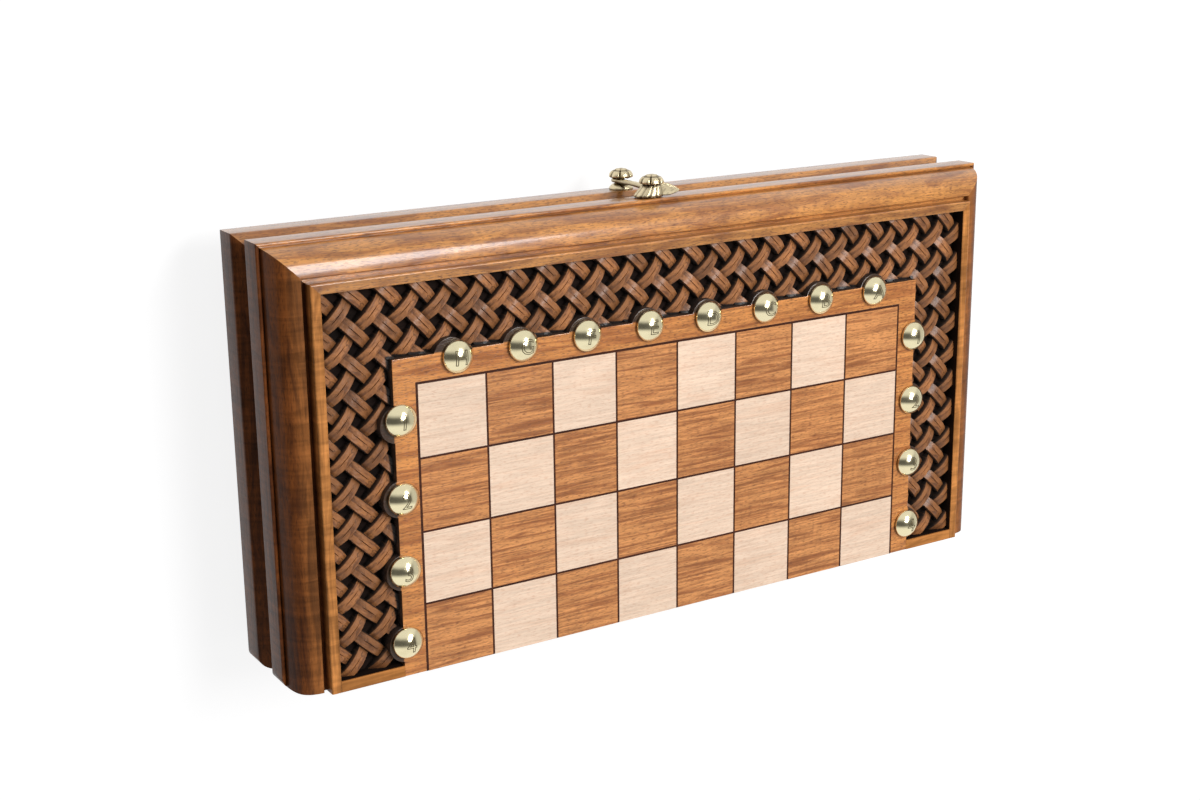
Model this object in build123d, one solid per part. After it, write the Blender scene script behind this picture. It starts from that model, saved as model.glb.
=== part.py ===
"""Chess and backgammon set: a folding wooden case of two carved halves.

The closed case lies flat. X runs along the hinge, +Y from the hinge side to the latch side
and +Z up. The origin is on the table, under the middle of the whole case. Each half is drawn
once, with its carved face up and its seam at z = 0. The lid is that drawing lifted to the
seam, and the base is its mirror image below the seam. All sizes are in millimetres.
"""

from build123d import *
import math
import os

# Chess field: squares, dark lines between them, and the row that the hinge edge cuts short
SQUARE = 42.9
COLUMNS = 8
ROWS = 4
CUT_ROW = 2.1
LINE_W = 1.3
VENEER_T = 3.0

# Plain border strip, carved band and moulding, from the field outwards
BORDER_SIDE = 14.3
BORDER_TOP = 15.2
BAND_SIDE = 38.7
BAND_TOP = 40.7
MOULD_W = 26.7
RIM_W = 5.8

# Moulding section: points are (outward from the rim's inner edge, down from the carved face)
RIM_EASE = 0.7
RIM_DROP = 8.2
SHELF = ((7.6, 8.2), (8.6, 5.0), (11.7, 5.3), (14.7, 6.1))
SHOULDER = ((17.5, 7.5), (19.9, 9.9))
SLOPE = ((22.3, 14.1), (24.0, 19.4))
LOWER_QUIRK = ((24.0, 21.6), (24.6, 21.6))
BEAD_TOP = 19.8
BEAD_SIDE = 20.9
BAND_FOOT = 34.7
FOOT_EASE = 1.7

# Heights of a half: seam to carved face, panel, carved recess and playing board
HALF_DEPTH = 46.1
SEAM_GAP = 0.4
PANEL_T = 17.0
RECESS_DEPTH = 10.0
BOARD_T = 3.0
SEAM_WALL = 12.9
HINGE_STRIP = 6.4
END_R = 7.0

# Brass studs on the border strip, with a round lobe of wood under each
STUD_R = 9.4
STUD_RISE = 7.2
STUD_INSET = 12.4
LOBE_R = 10.6

# Basket weave: straps at 45 degrees, one over and one under, counted from a first crest
WEAVE_STEP = 9.95
STRAP_W = 8.2
STRAP_TOP = 3.8
STRAP_FLAT = 9.0
WEAVE_X0 = -194.3
WEAVE_Y0 = 211.3
LEAST_PART = 0.5

# Hinges: two brass butt hinges let into the seam, their pins just outside the hinge wall
HINGE_X = 150.0
LEAF_LEN = 40.0
LEAF_D = 11.0
LEAF_T = 1.1
PIN_Y = -0.35
PIN_R = 0.9
PIN_FIT = 0.05
KNUCKLE_R = 1.75
KNUCKLES = 3
KNUCKLE_GAP = 0.3
LEAF_CLEAR = 0.35
SEAM_EASE = 2.8

# Latch: a cast hook turns on a stud of the lid and holds a stud of the base by its neck
PIVOT_X = 0.4
CATCH_X = 2.4
LATCH_DROP = 27.7
PIVOT_R = 2.5
PIVOT_FIT = 0.05
PIVOT_HEAD_H = 5.5
SHANK_R = 1.6
SHANK_LEN = 10.0
COLLAR_R = 4.5
COLLAR_H = 0.3
FOOT_R = 7.4
FOOT_H = 3.9
NECK_R = 2.2
NECK_PLAY = 0.5
CATCH_HEAD_H = 4.4
HEAD_R = 7.9
HEAD_NOTCH_R = 6.7
PETALS = 8
HEAD_RINGS = ((0.92, 0), (1.0, 0.3), (0.62, 0.8), (0.3, 1.0))
FOOT_RINGS = ((1.0, 0), (0.9, 0.35), (0.62, 0.8), (0.38, 1.0))
BOSS_RINGS = ((1.0, 0), (1.0, 0.2), (0.72, 1.0))
STUD_RINGS = ((1.0, 0), (0.88, 0.6), (0.34, 1.0))
BOSS_R = 7.4
BOSS_Z = 0.6
BOSS_TOP = 7.6
ARM_W = 5.6
ARM_Z = 4.4
ARM_T = 2.4
CLAW_W = 3.4
TAIL_LEN = 18.0
TAIL_W = 8.6
TAIL_Z = 2.2
TAIL_T = 2.2
TAIL_TURN = -12.0
PLAY = 0.4
ROOM = 0.1

# Sides of the many-sided outlines that stand for round ones where a shape repeats
FACETS = 12
CHECKER_SIDES = 16

# Overlap of cutting shapes, and spare rows and columns of the weave outside its band
OVER = 1.0
WEAVE_SPARE = 4

# Backgammon points, and the loose pieces laid in rows on the base's playing board
POINTS_PER_END = 6
POINT_LEN = 185.0
POINT_T = 0.8
POINT_GAP = 1.2
CHECKER_R = 16.5
CHECKER_T = 9.0
CHECKER_PITCH = 54.0
CHECKER_ROWS = ((8, 21.0), (7, 57.0))
DIE = 14.0
DICE_X = (-14.0, 13.0)

# Derived sizes
FIELD_HALF_X = SQUARE * COLUMNS / 2
FIELD_Y = SQUARE * ROWS - CUT_ROW
BORDER_X = FIELD_HALF_X + BORDER_SIDE
BORDER_Y = FIELD_Y + BORDER_TOP
INNER_X = BORDER_X + BAND_SIDE
INNER_Y = BORDER_Y + BAND_TOP
HALF_X = INNER_X + MOULD_W
HALF_Y = INNER_Y + MOULD_W
RECESS_Z = HALF_DEPTH - RECESS_DEPTH
PANEL_Z = HALF_DEPTH - PANEL_T
BOARD_Z = PANEL_Z - BOARD_T
SEAM_FACE = SEAM_GAP / 2
LATCH_Z = HALF_DEPTH - LATCH_DROP
PIVOT_HEAD_Z = BOSS_TOP + PLAY
CATCH_HEAD_Z = ARM_Z + ARM_T + PLAY
LATCH_H = PIVOT_HEAD_Z + PIVOT_HEAD_H

# Place of the drawing in the model's frame
SEAM_HEIGHT = STUD_RISE + HALF_DEPTH
MIDDLE_Y = (HALF_Y + LATCH_H + PIN_Y - KNUCKLE_R) / 2
UP = (Align.CENTER, Align.CENTER, Align.MIN)


def block(x0, x1, y0, y1, z0, z1):
    """A box between two corners."""
    size = Box(x1 - x0, y1 - y0, z1 - z0, align=(Align.MIN, Align.MIN, Align.MIN))
    return Pos(x0, y0, z0) * size


def ring(r, sides, turn=0.0):
    """Corners of a many-sided outline that stands for a round one."""
    angles = [2 * math.pi * (n + turn) / sides for n in range(sides)]
    return [(r * math.cos(a), r * math.sin(a)) for a in angles]


def ringed(outline, rings, height):
    """A solid with flat facets through scaled copies of one outline, each at its share of the height."""
    loops = [[Vector(k * x, k * y, share * height) for x, y in outline] for k, share in rings]
    faces = [Face(Wire.make_polygon(loops[0])), Face(Wire.make_polygon(loops[-1]))]
    for low, high in zip(loops, loops[1:]):
        for n in range(len(outline)):
            corners = [low[n - 1], low[n], high[n], high[n - 1]]
            faces.append(Face(Wire.make_polygon(corners)))
    return Solid(Shell(faces))


def prism(points, z0, z1):
    """A straight-sided prism on a closed outline of (x, y) points."""
    outline = make_face(Polyline(*points, close=True))
    return Pos(0, 0, z0) * extrude(outline, z1 - z0)


def moulding(length):
    """Moulded rail, drawn in its section (outward, up) and extruded along +Y.

    From the rim's inner edge outwards: the flat rim, its quirk, a nearly flat crest that rolls
    over into a long slope, a second quirk, a bead, the outer band and the eased slope to the seam.
    """
    rim = [(RIM_W - RIM_EASE, 0), (RIM_W, RIM_EASE), (RIM_W, RIM_DROP), *SHELF]
    bead = [
        SLOPE[1], *LOWER_QUIRK, (LOWER_QUIRK[1][0], BEAD_SIDE), (LOWER_QUIRK[1][0] + RIM_EASE, BEAD_TOP),
        (MOULD_W - RIM_EASE, BEAD_TOP), (MOULD_W, BEAD_SIDE),
    ]
    band = [(MOULD_W, BEAD_SIDE), (MOULD_W, BAND_FOOT), (MOULD_W - RIM_EASE, BAND_FOOT + FOOT_EASE)]
    seam = HALF_DEPTH - SEAM_FACE
    edges = Curve() + [
        Polyline((0, seam), (0, 0), *rim),
        ThreePointArc(SHELF[-1], *SHOULDER),
        ThreePointArc(SHOULDER[1], *SLOPE),
        Polyline(*bead),
        Polyline(*band, (SEAM_WALL, seam), (0, seam)),
    ]
    section = Pos(0, 0, HALF_DEPTH) * Rot(-90, 0, 0) * make_face(edges)
    return extrude(section, length, dir=(0, 1, 0))


def right_rail():
    """Right-hand end rail: mitred at the latch corner, its hinge corner rounded."""
    stock = Pos(INNER_X, -OVER, 0) * moulding(HALF_Y + 2 * OVER)
    corners = [(INNER_X, 0), (HALF_X, 0), (HALF_X, HALF_Y), (INNER_X, INNER_Y)]
    outline = prism(corners, 0, HALF_DEPTH)
    hinge_corner = outline.edges().filter_by(Axis.Z).sort_by(lambda e: e.center().Y - e.center().X)[0]
    return stock & fillet(hinge_corner, END_R)


def latch_rail():
    """Rail on the latch side, mitred at both ends."""
    length = 2 * (HALF_X + OVER)
    stock = Pos(length / 2, INNER_Y, 0) * Rot(0, 0, 90) * moulding(length)
    corners = [(-INNER_X, INNER_Y), (-HALF_X, HALF_Y), (HALF_X, HALF_Y), (INNER_X, INNER_Y)]
    return stock & prism(corners, 0, HALF_DEPTH)


def leaf_pocket(x):
    """Space of one hinge leaf, sunk into the seam face of the hinge rail."""
    return block(x - LEAF_LEN / 2, x + LEAF_LEN / 2, -OVER, LEAF_D, 0, SEAM_FACE + LEAF_T)


def hinge_rail():
    """Plain rail on the hinge side, eased along the seam and let in for the hinges."""
    rail = block(-INNER_X, INNER_X, 0, SEAM_WALL, SEAM_FACE, PANEL_Z)
    seam_edge = rail.edges().filter_by(Axis.X).sort_by(lambda e: e.center().Y + e.center().Z)[0]
    rail = chamfer(seam_edge, SEAM_EASE)
    for x in (-HINGE_X, HINGE_X):
        rail -= leaf_pocket(x)
    return rail


def carved_panel():
    """Panel with the floor of the carved band, the block under the field and the hinge strips."""
    field_x = FIELD_HALF_X + LINE_W / 2
    panel = block(-INNER_X, INNER_X, 0, INNER_Y, PANEL_Z, RECESS_Z)
    panel += block(-field_x, field_x, 0, FIELD_Y + LINE_W / 2, RECESS_Z, HALF_DEPTH - VENEER_T)
    for x0, x1 in ((-INNER_X, -BORDER_X), (BORDER_X, INNER_X)):
        panel += block(x0, x1, 0, HINGE_STRIP, RECESS_Z, HALF_DEPTH)
    return panel


def stud_places():
    """Centres of the studs: one over each column, then one beside each row at both ends."""
    places = [((n + 0.5) * SQUARE - FIELD_HALF_X, FIELD_Y + STUD_INSET) for n in range(COLUMNS)]
    for side in (-1, 1):
        for n in range(ROWS):
            places.append((side * (FIELD_HALF_X + STUD_INSET), FIELD_Y - (n + 0.5) * SQUARE))
    return places


def lobe():
    """Round lobe of wood under a stud, as an outline."""
    return make_face(Polyline(*ring(LOBE_R, FACETS, 0.5), close=True))


def border_strip():
    """Plain strip round three sides of the field, with a lobe under each stud."""
    field_x = FIELD_HALF_X + LINE_W / 2
    field_y = FIELD_Y + LINE_W / 2
    outline = Pos(0, BORDER_Y / 2) * Rectangle(2 * BORDER_X, BORDER_Y)
    for x, y in stud_places():
        outline += Pos(x, y) * lobe()
    outline -= Pos(0, field_y / 2) * Rectangle(2 * field_x, field_y)
    return Pos(0, 0, RECESS_Z) * extrude(outline, RECESS_DEPTH)


def squares(parity):
    """Veneer squares of one colour. The row beside the hinge is cut short."""
    tiles = []
    for column in range(COLUMNS):
        for row in range(ROWS):
            if (column + row) % 2 != parity:
                continue
            x = column * SQUARE - FIELD_HALF_X + LINE_W / 2
            y1 = FIELD_Y - row * SQUARE - LINE_W / 2
            y0 = max(0, y1 - SQUARE + LINE_W)
            tiles.append(block(x, x + SQUARE - LINE_W, y0, y1, HALF_DEPTH - VENEER_T, HALF_DEPTH))
    return Compound(children=tiles)


def line_inlay():
    """Dark lines round and between the squares: long ones lapped over those that cross them."""
    half = LINE_W / 2
    low = HALF_DEPTH - VENEER_T
    lap = HALF_DEPTH - VENEER_T / 2
    lines = []
    for row in range(ROWS):
        y = FIELD_Y - row * SQUARE
        lines.append(block(-FIELD_HALF_X - half, FIELD_HALF_X + half, y - half, y + half, lap, HALF_DEPTH))
    for column in range(COLUMNS + 1):
        x = column * SQUARE - FIELD_HALF_X
        lines.append(block(x - half, x + half, 0, FIELD_Y + half, low, lap))
    return Compound(children=lines)


def studs():
    """Domed stud heads on the border strip."""
    head = ringed(ring(STUD_R, FACETS), STUD_RINGS, STUD_RISE)
    return Compound(children=[Pos(x, y, HALF_DEPTH) * head for x, y in stud_places()])


def strap_crest(x, y, turn):
    """One crest of a strap, from where it comes out from under a strap to where it dives again."""
    reach = WEAVE_STEP * math.sqrt(2) - STRAP_W / 2
    flat = STRAP_FLAT / 2
    height = RECESS_DEPTH - STRAP_TOP
    arch = make_face(Plane.XZ * Polyline((-reach, 0), (reach, 0), (flat, height), (-flat, height), close=True))
    crest = extrude(arch, STRAP_W / 2, both=True)
    return Pos(x, y, RECESS_Z) * Rot(0, 0, turn) * crest


def weave_keepouts():
    """What the weave is cut back from: the border strip and the lobe under each stud."""
    keepouts = [block(-BORDER_X, BORDER_X, -OVER, BORDER_Y, RECESS_Z - OVER, HALF_DEPTH)]
    for x, y in stud_places():
        keepouts.append(Pos(x, y, RECESS_Z - OVER) * extrude(lobe(), RECESS_DEPTH + OVER))
    return keepouts


def meets(a, b):
    """Whether the bounding boxes of two shapes overlap in plan."""
    p, q = a.bounding_box(), b.bounding_box()
    return p.min.X < q.max.X and q.min.X < p.max.X and p.min.Y < q.max.Y and q.min.Y < p.max.Y


def trimmed(crest, band, keepouts):
    """The solids of a crest that are left inside the band and outside the keepouts."""
    left = crest & band
    for keepout in keepouts:
        if left is not None and left.volume and meets(left, keepout):
            left -= keepout
    return left.solids() if left is not None else []


def basket_weave():
    """Basket weave in the carved band: crests leaning right and left on two crossed lattices."""
    band = block(-INNER_X, INNER_X, HINGE_STRIP, INNER_Y, RECESS_Z, HALF_DEPTH)
    keepouts = weave_keepouts()
    edges = [block(x, x + OVER, 0, INNER_Y, 0, HALF_DEPTH) for x in (-INNER_X - OVER, INNER_X)]
    edges += [block(-INNER_X, INNER_X, y, y + OVER, 0, HALF_DEPTH) for y in (HINGE_STRIP - OVER, INNER_Y)]
    crests = []
    least = LEAST_PART * strap_crest(0, 0, 0).volume
    for i in range(-WEAVE_SPARE, int(2 * INNER_X / WEAVE_STEP) + WEAVE_SPARE):
        for j in range(-WEAVE_SPARE, int(INNER_Y / WEAVE_STEP) + WEAVE_SPARE):
            if (i + j) % 2:
                continue
            turn = 45 if j % 2 == 0 else -45
            crest = strap_crest(WEAVE_X0 + i * WEAVE_STEP, WEAVE_Y0 - j * WEAVE_STEP, turn)
            if not meets(crest, band):
                continue
            if any(meets(crest, shape) for shape in keepouts + edges):
                crests += [piece for piece in trimmed(crest, band, keepouts) if piece.volume > least]
            else:
                crests.append(crest)
    return Compound(children=crests)


def point_outlines(parity):
    """Backgammon points of one colour: thin triangles from both ends of the tray."""
    pitch = (INNER_Y - SEAM_WALL) / POINTS_PER_END
    shapes = []
    for side in (-1, 1):
        for n in range(POINTS_PER_END):
            if (n + (side > 0)) % 2 != parity:
                continue
            y0 = SEAM_WALL + n * pitch + POINT_GAP
            y1 = y0 + pitch - 2 * POINT_GAP
            foot = side * (INNER_X - POINT_GAP)
            tip = (side * (INNER_X - POINT_LEN), (y0 + y1) / 2)
            shapes.append(prism([(foot, y0), (foot, y1), tip], BOARD_Z, BOARD_Z + POINT_T))
    return shapes


def playing_board():
    """Inner playing board, let in for the points."""
    board = block(-INNER_X, INNER_X, SEAM_WALL, INNER_Y, BOARD_Z, PANEL_Z)
    for point in point_outlines(0) + point_outlines(1):
        board -= point
    return board


def round_bar(r, x0, x1):
    """A round bar along the hinge's axis."""
    return Pos(x0, PIN_Y, 0) * Rot(0, 90, 0) * Cylinder(r, x1 - x0, align=UP)


def knuckle_spans(first):
    """Starts and ends of every second knuckle of a hinge, from the first one that a leaf owns."""
    pitch = LEAF_LEN / KNUCKLES
    spans = []
    for n in range(first, KNUCKLES, 2):
        x0 = n * pitch + (KNUCKLE_GAP / 2 if n > 0 else 0)
        x1 = (n + 1) * pitch - (KNUCKLE_GAP / 2 if n < KNUCKLES - 1 else 0)
        spans.append((x0 - LEAF_LEN / 2, x1 - LEAF_LEN / 2))
    return spans


def hinge_leaf(x, first, fit):
    """One leaf with its own knuckles, on the drawing's side of the seam."""
    clear_y = PIN_Y + KNUCKLE_R + LEAF_CLEAR
    leaf_z = SEAM_FACE + LEAF_T
    leaf = block(x - LEAF_LEN / 2, x + LEAF_LEN / 2, clear_y, LEAF_D, SEAM_FACE, leaf_z)
    for x0, x1 in knuckle_spans(first):
        bar = extrude(make_face(Polyline(*ring(KNUCKLE_R, FACETS), close=True)), x1 - x0)
        leaf += Pos(x + x0, PIN_Y, 0) * Rot(0, 90, 0) * bar
        leaf += block(x + x0, x + x1, PIN_Y, clear_y + OVER, SEAM_FACE, leaf_z)
    return leaf - round_bar(PIN_R + fit, x - LEAF_LEN, x + LEAF_LEN)


def hinge_leaves(first, fit):
    """Both hinges' leaves of one half."""
    return Compound(children=[hinge_leaf(x, first, fit) for x in (-HINGE_X, HINGE_X)])


def hinge_pins():
    """Hinge pins, tight in the base's knuckles and free in the lid's."""
    reach = LEAF_LEN / 2
    return Compound(children=[round_bar(PIN_R, x - reach, x + reach) for x in (-HINGE_X, HINGE_X)])


def blossom(height):
    """Flower-shaped stud head: petals that roll up to a raised middle."""
    tips = ring(HEAD_R, PETALS)
    notches = ring(HEAD_NOTCH_R, PETALS, 0.5)
    outline = [corner for pair in zip(tips, notches) for corner in pair]
    return ringed(outline, HEAD_RINGS, height)


def many_sided(r, height):
    """A straight bar of many sides on z = 0."""
    return ringed(ring(r, FACETS), ((1.0, 0), (1.0, 1.0)), height)


def stand(x, shape):
    """Stands a latch piece, drawn along +Z, on the outer band of the latch rail."""
    return Pos(x, HALF_Y, LATCH_Z) * Rot(-90, 0, 0) * shape


def shank():
    """Shank of a latch stud, driven into the rail."""
    return Pos(0, 0, -SHANK_LEN) * many_sided(SHANK_R, SHANK_LEN)


def pivot_stud():
    """Stud of the lid: a collar on the band, the post that the hook turns on, a flower head."""
    post = Cylinder(PIVOT_R, PIVOT_HEAD_Z, align=UP)
    head = Pos(0, 0, PIVOT_HEAD_Z) * blossom(PIVOT_HEAD_H)
    return shank() + many_sided(COLLAR_R, COLLAR_H) + post + head


def catch_stud():
    """Stud of the base: a domed foot, the neck that the hook holds, a flower head."""
    foot = ringed(ring(FOOT_R, FACETS), FOOT_RINGS, FOOT_H)
    head = Pos(0, 0, CATCH_HEAD_Z) * blossom(CATCH_HEAD_H)
    return shank() + foot + many_sided(NECK_R, CATCH_HEAD_Z) + head


def latch_hook():
    """Hook: a boss round the post, an arm with an open claw, and a leaf-shaped tail."""
    x, y = CATCH_X - PIVOT_X, 2 * LATCH_Z
    mouth_r = NECK_R + NECK_PLAY
    claw_r = mouth_r + CLAW_W
    half = ARM_W / 2
    claw = make_face(Polyline(*ring(claw_r, CHECKER_SIDES), close=True))
    mouth = make_face(Polyline(*ring(mouth_r + ROOM, CHECKER_SIDES), close=True))
    arm = make_face(Polyline((-half, 0), (half, 0), (x, y - mouth_r - half), (x - claw_r, y), close=True))
    arm += Pos(x, y) * claw
    arm -= Pos(x, y) * mouth
    arm -= Pos(x + claw_r, y) * Rectangle(2 * claw_r, 2 * mouth_r)
    hook = Pos(0, 0, ARM_Z) * extrude(arm, ARM_T)
    hook += Pos(0, 0, BOSS_Z) * ringed(ring(BOSS_R, CHECKER_SIDES), BOSS_RINGS, BOSS_TOP - BOSS_Z)
    leaf = [(TAIL_LEN * (1 + x) / 2, TAIL_W * y / 2) for x, y in ring(1.0, FACETS)]
    tail = extrude(make_face(Polyline(*leaf, close=True)), TAIL_T)
    hook += Pos(0, 0, TAIL_Z) * Rot(0, 0, TAIL_TURN) * tail
    return hook - Cylinder(PIVOT_R + PIVOT_FIT, 4 * BOSS_TOP)


def checkers(from_latch_side):
    """Fifteen draughtsmen of one colour in two rows, in the drawing of a half."""
    man = ringed(ring(CHECKER_R, CHECKER_SIDES), ((1.0, 0), (1.0, 1.0)), CHECKER_T)
    row_places = []
    for count, inset in CHECKER_ROWS:
        y = INNER_Y - inset if from_latch_side else SEAM_WALL + inset
        row_places += [((n - (count - 1) / 2) * CHECKER_PITCH, y) for n in range(count)]
    return Compound(children=[Pos(x, y, BOARD_Z - CHECKER_T) * man for x, y in row_places])


def dice():
    """Two dice, in the drawing of a half."""
    y = (SEAM_WALL + INNER_Y) / 2
    return Compound(children=[Pos(x, y, BOARD_Z - DIE / 2) * Box(DIE, DIE, DIE) for x in DICE_X])


def half_pieces(parity, stud_x):
    """The named pieces that both halves have, in the drawing of a half."""
    rail = latch_rail() - stand(stud_x, shank())
    return {
        "latch_rail": rail,
        "right_rail": right_rail(),
        "left_rail": mirror(right_rail(), about=Plane.YZ),
        "hinge_rail": hinge_rail(),
        "carved_panel": carved_panel(),
        "basket_weave": basket_weave(),
        "border_strip": border_strip(),
        "light_squares": squares(parity),
        "dark_squares": squares(1 - parity),
        "line_inlay": line_inlay(),
        "brass_studs": studs(),
        "playing_board": playing_board(),
        "light_points": Compound(children=point_outlines(0)),
        "dark_points": Compound(children=point_outlines(1)),
    }


def place(shape, is_base):
    """Moves a piece from the drawing of a half to its place in the closed case."""
    turned = mirror(shape, about=Plane.XY) if is_base else shape
    return Pos(0, -MIDDLE_Y, SEAM_HEIGHT) * turned


def build():
    """All pieces of the set by name, in the model's frame."""
    nodes = {}
    for prefix, is_base, parity, stud_x in (("base", True, 1, CATCH_X), ("lid", False, 0, PIVOT_X)):
        for name, shape in half_pieces(parity, stud_x).items():
            nodes[f"{prefix}_{name}"] = place(shape, is_base)
    nodes["base_hinge_leaves"] = place(hinge_leaves(0, 0), True)
    nodes["lid_hinge_leaves"] = place(hinge_leaves(1, PIN_FIT), False)
    nodes["hinge_pins"] = place(hinge_pins(), True)
    nodes["catch_stud"] = place(stand(CATCH_X, catch_stud()), True)
    nodes["pivot_stud"] = place(stand(PIVOT_X, pivot_stud()), False)
    nodes["latch_hook"] = place(stand(PIVOT_X, latch_hook()), False)
    nodes["light_checkers"] = place(checkers(False), True)
    nodes["dark_checkers"] = place(checkers(True), True)
    nodes["dice"] = place(dice(), True)
    return nodes


def main():
    """Builds every piece and writes one file for each."""
    os.makedirs("parts", exist_ok=True)
    for name, shape in build().items():
        shape.label = name
        export_step(shape, f"parts/{name}.step")
    print(f"origin: seam at z {SEAM_HEIGHT:.3f}, hinge wall at y {-MIDDLE_Y:.4f}")


if __name__ == "__main__":
    main()
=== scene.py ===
"""Looks of a folding chess and backgammon set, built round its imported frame.

The closed case lies flat with its hinge side towards -Y and its latch side towards +Y. Each
half is drawn once, with its seam at z = 0 and its carved face up. It is then put in its place
as the lid or, mirrored, as the base. Lengths are in metres where nothing says millimetres.
"""

import logging
import math
from dataclasses import dataclass, field
from enum import Enum
from typing import Callable, Sequence

import bmesh
import bpy
from mathutils import Euler, Matrix, Vector


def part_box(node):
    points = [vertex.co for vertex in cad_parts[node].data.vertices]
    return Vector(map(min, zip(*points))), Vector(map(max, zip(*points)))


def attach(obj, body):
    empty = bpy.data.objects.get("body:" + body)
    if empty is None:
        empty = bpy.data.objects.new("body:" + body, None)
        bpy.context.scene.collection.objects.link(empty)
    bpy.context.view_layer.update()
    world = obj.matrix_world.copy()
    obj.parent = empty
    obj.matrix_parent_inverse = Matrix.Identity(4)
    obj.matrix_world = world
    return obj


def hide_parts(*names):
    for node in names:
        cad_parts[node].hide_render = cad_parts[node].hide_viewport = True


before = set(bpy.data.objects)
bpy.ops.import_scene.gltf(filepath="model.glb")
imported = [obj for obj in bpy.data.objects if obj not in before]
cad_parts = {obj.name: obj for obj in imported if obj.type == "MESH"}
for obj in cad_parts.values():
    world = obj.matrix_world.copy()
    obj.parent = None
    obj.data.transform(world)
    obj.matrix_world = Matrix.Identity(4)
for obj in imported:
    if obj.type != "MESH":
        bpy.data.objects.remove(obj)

MM = 0.001
LOG = logging.getLogger("games_case")

Point = tuple[float, float, float]
Plan = tuple[float, float]
Colour = tuple[float, float, float]
Mesh = bmesh.types.BMesh
Piece = bpy.types.Object


class Half(Enum):
    """The two halves of the case."""

    LID = "lid"
    BASE = "base"


class Grain(Enum):
    """Direction that the grain of a wooden piece runs in."""

    ALONG_X = "x"
    ALONG_Y = "y"


class Value:
    """A node's output socket that can be used in arithmetic."""

    def __init__(self, graph: "Graph", socket: bpy.types.NodeSocket) -> None:
        """Keeps the socket and the graph that it belongs to."""
        self.graph = graph
        self.socket = socket

    def __add__(self, other: "Value | float") -> "Value":
        """Sum of two values."""
        return self.graph.math("ADD", self, other)

    def __sub__(self, other: "Value | float") -> "Value":
        """Difference of two values."""
        return self.graph.math("SUBTRACT", self, other)

    def __rsub__(self, other: float) -> "Value":
        """Difference from a plain number."""
        return self.graph.math("SUBTRACT", other, self)

    def __mul__(self, other: "Value | float") -> "Value":
        """Product of two values."""
        return self.graph.math("MULTIPLY", self, other)

    __radd__ = __add__
    __rmul__ = __mul__


class Graph:
    """A node tree with one method that makes nodes."""

    def __init__(self, tree: bpy.types.NodeTree) -> None:
        """Starts from the tree, emptied of its nodes."""
        self.tree = tree
        tree.nodes.clear()

    def node(self, kind: str, settings: dict | None = None, inputs: dict | None = None,
             output: int | str = 0) -> Value:
        """Makes one node.

        Args:
            kind: Type name of the node.
            settings: Properties of the node, set before its inputs.
            inputs: Plain values or links by the name or number of the input.
            output: Name or number of the output that is returned.

        Returns:
            The chosen output.
        """
        made = self.tree.nodes.new(kind)
        for name, setting in (settings or {}).items():
            setattr(made, name, setting)
        for key, value in (inputs or {}).items():
            socket = made.inputs[key]
            if isinstance(value, Value):
                self.tree.links.new(value.socket, socket)
            else:
                socket.default_value = (*value, 1.0) if socket.type == "RGBA" else value
        return Value(self, made.outputs[output] if len(made.outputs) else None)

    def math(self, operation: str, first: "Value | float", second: "Value | float" = 0.0) -> Value:
        """One Math node."""
        return self.node("ShaderNodeMath", {"operation": operation}, {0: first, 1: second})

    def vector(self, operation: str, first: "Value | Point", second: "Value | Point") -> Value:
        """One Vector Math node."""
        return self.node("ShaderNodeVectorMath", {"operation": operation}, {0: first, 1: second})

    def parts(self, vector: Value) -> tuple[Value, Value, Value]:
        """The three numbers of a vector."""
        x = self.node("ShaderNodeSeparateXYZ", inputs={0: vector})
        outputs = x.socket.node.outputs
        return x, Value(self, outputs[1]), Value(self, outputs[2])

    def triple(self, value: Value) -> Value:
        """A vector of one number three times."""
        return self.node("ShaderNodeCombineXYZ", inputs={0: value, 1: value, 2: value})

    def steep(self, value: Value, low: float, high: float) -> Value:
        """A value's share of the way from low to high, smoothed and kept from 0 to 1."""
        settings = {"interpolation_type": "SMOOTHSTEP"}
        return self.node("ShaderNodeMapRange", settings, {0: value, 1: low, 2: high})


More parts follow.
